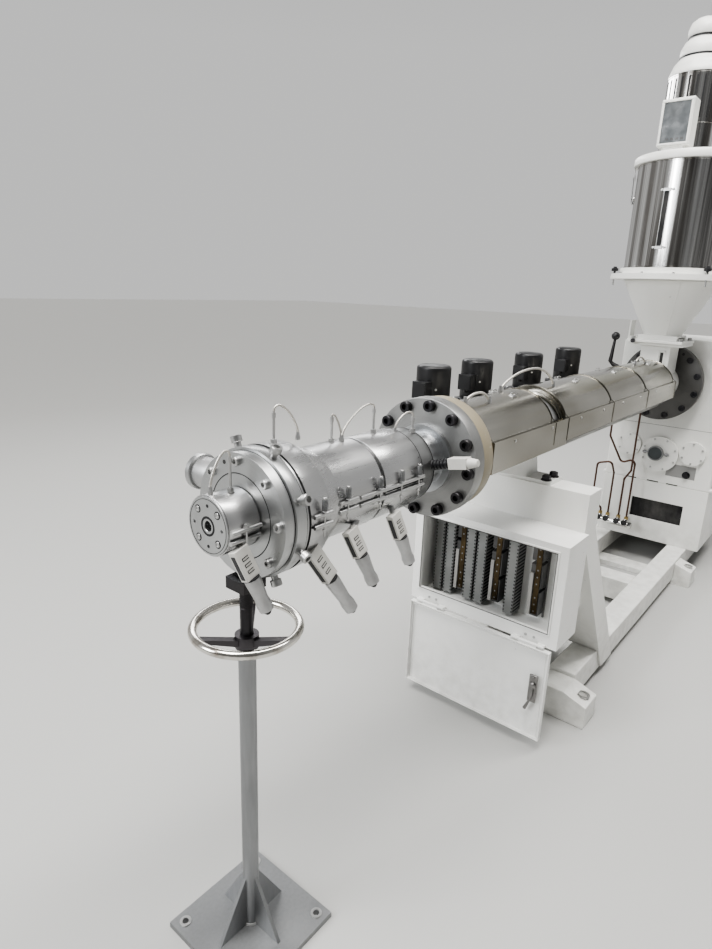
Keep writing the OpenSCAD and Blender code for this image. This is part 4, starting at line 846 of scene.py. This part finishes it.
def door_fittings():
    """The lock with its lever near the lower right corner, and the seal inside the folded rim."""
    lock = Build("door_lock", "under", body="door", bevel=0.8)
    x, y, low, high = DOOR.x0 + 4, DOOR.y0 + 38, 176, 270
    lock.box((x - 7, y - 13, low), (x, y + 13, high))
    lock.lathe([(11, 0), (11, 6), (8, 9)], aim((x - 6, y, high - 34), FRONT), 24)
    lock.box((x - 13, y - 5, low + 20), (x - 7, y + 5, high - 38))
    lock.tube([(x - 9, y, low + 24), (x - 9, y + 6, low), (x - 8, y + 17, low - 30)], [5, 4, 6], 12)
    lock.lathe([(5, 0), (4, 3), (0, 3.4)], aim((x - 7, y, high - 8), FRONT), 14)
    seal = Build("door_seal", "cabinet", body="door")
    inset = 9
    seal.tube(oblong(DOOR.x0 + 3.4, DOOR.y0 + inset, DOOR.z0 + inset, DOOR.y1 - inset, DOOR.z1 - 24), 1.6, 8,
              closed=True)


# Stands, base and gearbox

GEARBOX, STAND, CAPS, MOTOR, RAILS = spans("gearbox gear_stand bearing_covers drive_motor rails")
SPLIT_Z, SPLIT_LIP = 765, 16
SHAFT_Y, SHAFT_Z, MOTOR_R = -35, 614, 190
BEAM_XS = (0, FLANGE.x0 + 2090, RAILS.x1 - 90)
LUG_Y, LUG_Z = 297, 97


def base_bolts():
    bolts = Build("base_bolts", "bright_bolt")
    for x in BEAM_XS:
        for y in (-LUG_Y, LUG_Y):
            bolts.lathe(hoop(14.4, 22, 2.4), at(x, y, LUG_Z), 28)
    x0, x1 = GEARBOX.x0 + 37, GEARBOX.x1 - 37
    for x in (x0, x1):
        for y in (GEARBOX.y0 + 26, GEARBOX.y1 - 26):
            hex_bolt(bolts, (x, y, GEARBOX.z0 + 16), UP, 24, 15)
    for k in range(4):
        for y in (GEARBOX.y0 + 7, GEARBOX.y1 - 7):
            hex_bolt(bolts, (x0 + 120 * k, y, SPLIT_Z + SPLIT_LIP), UP, 16, 10)


def bearing_screws():
    screws = Build("bearing_screws", "bright_bolt")
    small_r, small_rise = 52, 30

    def small_caps(pitch):
        return [(SHAFT_Y + side * pitch, SHAFT_Z + small_rise, small_r, 6) for side in (-1, 1)]

    for x, way, caps in ((CAPS.x0, FRONT, [(SHAFT_Y, SHAFT_Z, 82, 8)] + small_caps(158)),
                         (CAPS.x1, REAR, small_caps(187.6) + [(0, AXIS_Z, 80, 8)])):
        for y, z, r, count in caps:
            for k in range(count):
                dy, dz = circle(r, (k + 0.5) / count)
                hex_bolt(screws, (x, y + dy, z + dz), way, 9, 5, washer=False)


def oil_gauge():
    """The round sight glass on the front bearing cover, with a union on either side."""
    case = Build("oil_gauge_case", "post", slot="chrome")
    glass = Build("oil_gauge_glass", "screen", slot="chrome")
    x, y, z, r = CAPS.x0, -20, 618, 40
    case.lathe([(r - 2, 0), (r, 3), (r, 14), (r - 2, 18), (r - 6, 18), (r - 7, 14)],
               aim((x, y, z), FRONT), 48)
    for side in (-1, 1):
        case.tube([(x - 8, y + side * (r - 3), z), (x - 8, y + side * (r + 26), z)], 5, 16)
        case.disc(aim((x - 8, y + side * (r + 8), z), (0, side, 0)), 9, 12, 6)
    glass.lathe([(r - 6.5, 0), (r - 8, 2), (0, 2.4)], aim((x - 14, y, z), FRONT), 40)


def gearbox_details():
    """Plugs, the grey plate in the sunken pocket with its drain plug, and dark strips and a sheet of painted
    shade: in the gaps under the gearbox, along its split and inside the stand's window.
    """
    plugs = Build("gearbox_plugs", "bolt")
    pocket = Build("gearbox_pocket", "grey", bevel=0.8)
    painted_shade_sheets = Build("gearbox_painted_shade_sheets", "painted_shade", slot="painted_white")
    face = GEARBOX.x0
    hex_bolt(plugs, (face - 1, -179, 524), FRONT, 26, 14)
    hex_bolt(plugs, (GEARBOX.x1, SHAFT_Y, 490), REAR, 26, 12)
    plugs.lathe([(16, 0), (16, 4), (13, 6), (13, 26), (20, 30), (20, 38), (16, 42)],
                at(GEARBOX.x1 - 93, -180, GEARBOX.z1), 28)
    pocket.box((face - 1.2, -222, 504), (face + 1, -80, 572))
    # Painted shade in the gaps between the gearbox and the stand, and along the gearbox's split.
    for y0, y1 in ((-148, -92), (-52, 6), (62, 118)):
        painted_shade_sheets.box((face - 0.8, y0, STAND.z1 + 2), (face + 1, y1, STAND.z1 + 7))
    painted_shade_sheets.box((face - 0.5, GEARBOX.y0 + 9, SPLIT_Z - 0.7), (face + 1, GEARBOX.y1 - 9, SPLIT_Z + 0.7))
    # Painted shadow: a dark sheet inside the gear stand's window.
    painted_shade_sheets.box((face + 18, -206, 236), (face + 19, 80, 358))


# Motor

def motor_details():
    """Fins along the frame, the slots of the rear grille drawn dark with painted shade, and the bolts of the
    lid and the feet.
    """
    fins = Build("motor_fins", "motor")
    grille = Build("motor_grille", "painted_shade")
    bolts = Build("motor_bolts", "bright_bolt")
    for k in range(60):
        turn = 2 * math.pi * k / 60
        if -0.78 < math.sin(turn) < 0.72:
            fins.box((MOTOR.x1 - 461, MOTOR_R - 4, -1.6), (MOTOR.x1 - 95, MOTOR_R + 7, 1.6),
                     at(0, SHAFT_Y, SHAFT_Z) @ Matrix.Rotation(turn, 4, "X"))
    for ring in range(5):
        for slot in range(12):
            points = []
            for t in range(6):
                dy, dz = circle(40 + 26 * ring, (30 * slot + 4 + 4.4 * t) / 360)
                points.append((MOTOR.x1 + 0.4, SHAFT_Y + dy, SHAFT_Z + dz))
            grille.tube(points, 3.4, 6)
    for side in (-1, 1):
        for x in (MOTOR.x1 - 430, MOTOR.x1 - 280):
            bolts.disc(aim((x, SHAFT_Y + side * 63, MOTOR.z1), UP), 6, 4, 16)
        for x in (MOTOR.x1 - 440, MOTOR.x1 - 80):
            hex_bolt(bolts, (x, SHAFT_Y + side * 168, MOTOR.z0 + 22), UP, 22, 13)


# Feed throat and cooling

NECK_X0 = 1325
MANIFOLD, GATE_PLATE = Span("cooling_manifold"), Span("hopper_base")


def throat_window():
    """The slot in the front of the feed neck, dark with painted shade, with its raised frame."""
    slot = Build("throat_details", "painted_shade", slot="painted_white")
    rim = Build("throat_rim", "white", bevel=1.0)
    y, z, half_w, half_h, bar = -32, 1132, 7, 28, 5
    out_w, out_h = half_w + 9, half_h + 10
    in_w, in_h = out_w - bar, out_h - bar
    slot.box((NECK_X0 - 0.6, y - half_w, z - half_h), (NECK_X0 + 1, y + half_w, z + half_h))
    for y0, z0, y1, z1 in ((-out_w, -out_h, out_w, -in_h), (-out_w, in_h, out_w, out_h),
                           (-out_w, -out_h, -in_w, out_h), (in_w, -out_h, out_w, out_h)):
        rim.box((NECK_X0 - 5, y + y0, z + z0), (NECK_X0 + 0.6, y + y1, z + z1))


def cooling_fittings():
    nuts = Build("pipe_nuts", "brass")
    taps = Build("tap_levers", "black")
    bodies = Build("tap_bodies", "chrome")
    x, z = DRIVE.x0 - 17, MANIFOLD.z1 - 36
    for y in (52, 94, 152, 192):
        nuts.lathe([(11, 0), (11, 12), (8, 16)], at(x, y, z + 31), 6)
        bodies.lathe([(12, 0), (13.5, 6), (13.5, 22), (10, 28)], at(x, y, z + 5), 24)
        taps.lathe([(6, 0), (6, 12), (15, 14), (15, 24), (13, 26)], aim((x - 12, y, z + 19), FRONT), 20)
    for place, way in (((x, 66, 932), UP), ((x, 86, AXIS_Z), FAR)):
        nuts.disc(aim(place, way), 10, 10, 6)
    for y, way in ((MANIFOLD.y0, NEAR), (MANIFOLD.y1, FAR)):
        bodies.disc(aim((x, y, z), way), 17, 14, 6, low=-3)
    for y in (65, 175):
        nuts.disc(aim((x + 16, y, z), REAR), 12, 8, 6)


def feed_fittings():
    """Bolts of the gate's plate, its lock knob, and the ball lever on the far side of the throat."""
    bolts = Build("feed_bolts", "bright_bolt")
    lever = Build("throat_lever", "bolt")
    ball = Build("throat_lever_ball", "black")
    for x in (1318, 1492):
        for y in (-106, 106):
            hex_bolt(bolts, (x, y, GATE_PLATE.z0 + 12), UP, 17, 11)
    lever.tube([(1292, 70, 1040), (1290, 120, 1066), (1286, 176, 1088), (1285, 190, 1102), (1312, 190, 1212)],
               [10, 10, 10, 10, 6], 14)
    lever.disc(aim((1292, 84, 1048), (0, 0.9, 0.42)), 13, 14, 6)
    lever.disc(aim((GATE_PLATE.x0 + 1, 96, GATE_PLATE.z0 + 5), FRONT), 10, 14)
    ball_r = 20
    round_side = [circle(ball_r, degrees / 360) for degrees in range(-75, 76, 15)]
    ball.lathe([(0, -ball_r)] + round_side + [(0, ball_r)], at(1314, 190, 1222), 28)


# Hopper and dryer

BODY, LID, CONE, BOX, FAN, CAP = spans("dryer_body dryer_lid hopper_cone dryer_control dryer_fan fan_cap")
WALL_R, FAN_R, CLAMP_R, RING_Z1 = 218, 118, 257, 1514
CONE_LOW_R, CONE_HIGH_R, CONE_TOP_Z = 84, 208, 1484
SLOT_DEGREES = 174


def wall(r, degrees, z):
    """A point about the dryer's upright axis; 180 degrees is the front."""
    return beside(LID.x, 0, z, r, degrees / 360)


def dryer_sight_slot():
    """The long window in the wall, dark with painted shade, with a bracket at either end."""
    window = Build("dryer_window", "painted_shade")
    brackets = Build("dryer_brackets", "bright_bolt", bevel=0.5, slot="stainless")
    low, high, half_w, end_h = BODY.z0 + 91, BODY.z1 - 129, 10, 12
    turn = at(*wall(WALL_R - 0.3, SLOT_DEGREES, 0)) @ Matrix.Rotation(math.radians(SLOT_DEGREES), 4, "Z")
    window.box((-0.5, -half_w, low), (1.6, half_w, high), turn)
    for y in (-half_w - 1, half_w + 1):
        brackets.box((-1, y - 1, low), (2.6, y + 1, high), turn)
    for z in (low - end_h, high):
        brackets.box((-2, -16, z), (5, 16, z + end_h), turn)
        for y in (-24, 24):
            brackets.lathe([(6, 0), (5, 4), (0, 5)], turn @ aim((0, y, z + end_h / 2), REAR), 16)


def dryer_fittings():
    """Latches under the lid, clamps on the ring, the seam and the rolled edges of the wall."""
    trim = Build("dryer_trimmings", "bright_bolt", bevel=0.4, slot="stainless")
    knobs = Build("dryer_knobs", "black")
    bands = Build("dryer_bands", "mirror")
    top = LID.z0
    knob = [(5, 0), (5, 10), (7, 12), (16, 14), (17, 20), (16, 26), (9, 28), (8, 34)]
    for degrees in (106, 226, 346):
        latch = ((3, 159), (12, 139), (13, 61), (16, 41))
        trim.tube([wall(WALL_R + away, degrees, top - drop) for away, drop in latch], [5, 4, 3, 3], 10)
        trim.disc(aim(wall(WALL_R, degrees, top - 135), (*circle(1, degrees / 360), 0)), 11, 4, low=-2)
        for near in (degrees - 3, degrees + 3):
            trim.tube([wall(WALL_R + 8, near, top - 55), wall(WALL_R + 14, near, top + 5)], 2, 8)
        knobs.lathe(knob, at(*wall(CLAMP_R, degrees, RING_Z1)), 8)
        trim.disc(at(*wall(CLAMP_R, degrees, CONE_TOP_Z - 22)), 4, 30, 12)
    for k in range(12):
        hex_bolt(trim, wall(CLAMP_R, 15 + 30 * k, RING_Z1), UP, 10, 6)
    trim.tube([wall(WALL_R + 0.4, 20, BODY.z0 + 2), wall(WALL_R + 0.4, 20, BODY.z1 - 2)], 1.4, 8)
    for x, y, r, z in ((LID.x, 0, WALL_R, BODY.z0 + 4), (LID.x, 0, WALL_R, BODY.z1 - 4),
                       (FAN.x, FAN.y, FAN_R, FAN.z0 + 131), (FAN.x, FAN.y, FAN_R, FAN.z1 - 4)):
        bands.lathe([(r, -3), (r + 2, -2), (r + 2, 2), (r, 3), (r - 1.6, 3), (r - 1.6, -3), (r, -3)],
                    at(x, y, z), 96)


def control_panel():
    glass = Build("panel_glass", "screen")
    rim = Build("panel_frame", "white", bevel=1.6)
    keys = Build("panel_keys", "switch", slot="duct_grey")
    face, side = BOX.x0, 12
    y0, y1, low, high = BOX.y0 + side, BOX.y1 - side, BOX.z0 + 29, BOX.z1 - 14
    glass.box((face - 1.2, y0, low), (face + 1, y1, high))
    rim.surround(face - 5, face + 1, (y0, low), (y1, high), 8)
    for k in range(4):
        key_y = y0 + 12 + 20 * k
        keys.box((face - 1.6, key_y, low + 10), (face, key_y + 12, low + 18))


def fan_details():
    """Upright ribs round the dryer's fan, drawn as dark strips of painted shade, and the straps in the
    grooves of its cap.
    """
    ribs = Build("fan_vents", "painted_shade")
    straps = Build("cap_straps", "black")
    for k in range(24):
        ribs.box((FAN_R - 1, -3.5, FAN.z0 + 147), (FAN_R + 0.8, 3.5, FAN.z1 - 17),
                 at(FAN.x, FAN.y, 0) @ Matrix.Rotation(2 * math.pi * k / 24, 4, "Z"))
    for rise, r in ((74, 86), (152, 62)):
        straps.lathe(hoop(r - 3, r + 1, 4, -4), at(CAP.x, CAP.y, CAP.z0 + rise), 72)


def cone_seams():
    seams = Build("cone_seam", "white")
    height = CONE_TOP_Z - CONE.z0
    slope = (CONE_HIGH_R - CONE_LOW_R) / height
    seam = [wall(CONE_LOW_R + slope * rise, 205, CONE.z0 + rise) for rise in range(2, int(height), 20)]
    seams.tube(seam, 1.8, 8)
    seams.tube([wall(CONE_LOW_R, 9 * k, CONE.z0 + 1.5) for k in range(40)], 2.4, 8, closed=True)
    seams.tube([wall(CONE_HIGH_R, 6 * k, CONE_TOP_Z) for k in range(60)], 2.4, 8, closed=True)


# Jack stand

JACK, SCREW = Span("jack_post"), Span("jack_screw")


def jack_details():
    """Washers and the weld on the base plate, and the screw's thread between the hub and the saddle."""
    washers = Build("jack_bolts", "bright_bolt")
    thread = Build("jack_thread", "bolt", body="screw")
    plate_z, hole_out, weld_r, weld_step = 14, 105, 19, 0.26 / (2 * math.pi)
    for x in (JACK.x - hole_out, JACK.x + hole_out):
        for y in (-hole_out, hole_out):
            washers.lathe(hoop(7.4, 13, 2), at(x, y, plate_z), 24)
    weld = [beside(JACK.x, 0, plate_z + 1, weld_r, k * weld_step) for k in range(24)]
    washers.tube(weld, 3, 8, closed=True)
    hub_h, travel, head_drop = 28, 55, 22
    steps, pitch, thread_r = 20, 2.7, 12.6
    low = WHEEL.z0 + hub_h + travel + 2
    turns = int((RINGS.z0 - head_drop - low) / pitch)
    points = [beside(SCREW.x, 0, low + pitch * k / steps, thread_r, k / steps) for k in range(turns * steps)]
    thread.tube(points, 0.9, 6)


for dress in (die_screws, centring_screws, die_seams, inlet_collar, shoulder_band, band_clamps, die_probes,
              heater_plugs, flange_screws, cover_edges, cover_latches, cover_probes, cooling_fans, duct_slots,
              switchgear, cabinet_trim, door_fittings, base_bolts, bearing_screws, oil_gauge, gearbox_details,
              motor_details, throat_window, cooling_fittings, feed_fittings, dryer_sight_slot, dryer_fittings,
              control_panel, fan_details, cone_seams, jack_details):
    dress()
for build in Build.begun:
    build.done()


# Softened edges on the frame's pieces

EDGES = {
    0.8: "hopper_gate lower_covers heater_bands hand_wheel",
    1: "die_adapter cabinet_door",
    1.2: "die_body cabinet_shell front_stand",
    1.5: "die_nose hopper_base barrel_bracket side_inlet",
    2: "die_ring barrel_flange drive_flange bearing_covers gear_stand motor_stand dryer_lid drive_motor "
       "coupling_guard feed_throat",
    2.5: "clamp_ring",
    3: "fan_housings foot_beams fan_cap",
    4: "rails cross_members dryer_control",
    5: "gearbox",
}
for width, names in EDGES.items():
    for name in names.split():
        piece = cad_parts[name]
        weld = piece.modifiers.new("weld", "WELD")
        weld.merge_threshold = 0.00001
        add_bevel(piece, width, 3 if width > 4 else 2, 50)


# Floor, light and camera

def studio_floor():
    mesh = bpy.data.meshes.new("studio_floor")
    corners = [(-40, -40, 0), (40, -40, 0), (40, 40, 0), (-40, 40, 0)]
    mesh.from_pydata(corners, [], [(0, 1, 2, 3)])
    mesh.materials.append(Nodes("studio_floor").finish(base_color=(0.42, 0.42, 0.41), roughness=0.9))
    link_object("studio_floor", mesh)


def studio_sky():
    """A pale backdrop, with a dimmer zenith and a dimmer side in front of the machine."""
    n = Nodes("studio", bpy.data.worlds)
    way = n.add("ShaderNodeTexCoord", {})["Generated"]
    height = n.add("ShaderNodeSeparateXYZ", {"Vector": way})["Z"]
    ahead = n.add("ShaderNodeVectorMath", {0: way, 1: (-0.78, -0.63, 0.0)}, operation="DOT_PRODUCT")["Value"]
    tone = n.mix(n.ramp(height, 0.30, 0.95), (0.87, 0.87, 0.865), (0.44, 0.44, 0.44))
    tone = n.mix(n.ramp(ahead, 0.0, 0.8), tone, (0.26, 0.26, 0.26))
    bpy.context.scene.world = n.finish(color=tone, strength=0.60)


def light(name, kind, turn, power, colour, place=(0, 0, 0), **values):
    lamp = bpy.data.lights.new(name, kind)
    lamp.energy, lamp.color = power, colour
    for key, value in values.items():
        setattr(lamp, key, value)
    link_object(name, lamp).matrix_world = Matrix.Translation(place) @ turn.to_matrix().to_4x4()


def area_light(name, place, target, size, power, colour):
    way = (Vector(target) - Vector(place)).normalized()
    light(name, "AREA", way.to_track_quat("-Z", "Y"), power, colour, place,
          shape="RECTANGLE", size=size[0], size_y=size[1])


studio_floor()
studio_sky()
WARM = (1.0, 0.985, 0.96)
light("key", "SUN", Vector((-0.42, 0.10, 1.0)).to_track_quat("Z", "Y"), 2.5, WARM, angle=math.radians(30))
area_light("overhead", (0.0, -0.9, 4.6), (0.3, 0.0, 0.8), (4.6, 0.7), 170, WARM)
area_light("window_side", (-4.6, 1.9, 2.9), (-0.2, 0.0, 0.9), (1.6, 1.8), 120, (0.96, 0.98, 1.0))
area_light("far_strip", (2.2, 3.6, 3.4), (1.2, 0.2, 1.2), (5.0, 0.6), 60, (1.0, 1.0, 1.0))

camera_data = bpy.data.cameras.new("photo_camera")
camera_data.lens = 24.09
camera_data.sensor_width = 36.0
camera_data.sensor_fit = "AUTO"
camera_data.clip_start = 0.02
camera = link_object("photo_camera", camera_data)
camera_turn = Euler([math.radians(degrees) for degrees in (73.4591, -1.9557, -50.3453)])
camera.matrix_world = Matrix.Translation((-1.9699, -0.8579, 1.41486)) @ camera_turn.to_matrix().to_4x4()
scene = bpy.context.scene
scene.camera = camera
scene.view_settings.look = "AgX - Medium High Contrast"
scene.view_settings.exposure = 0.15
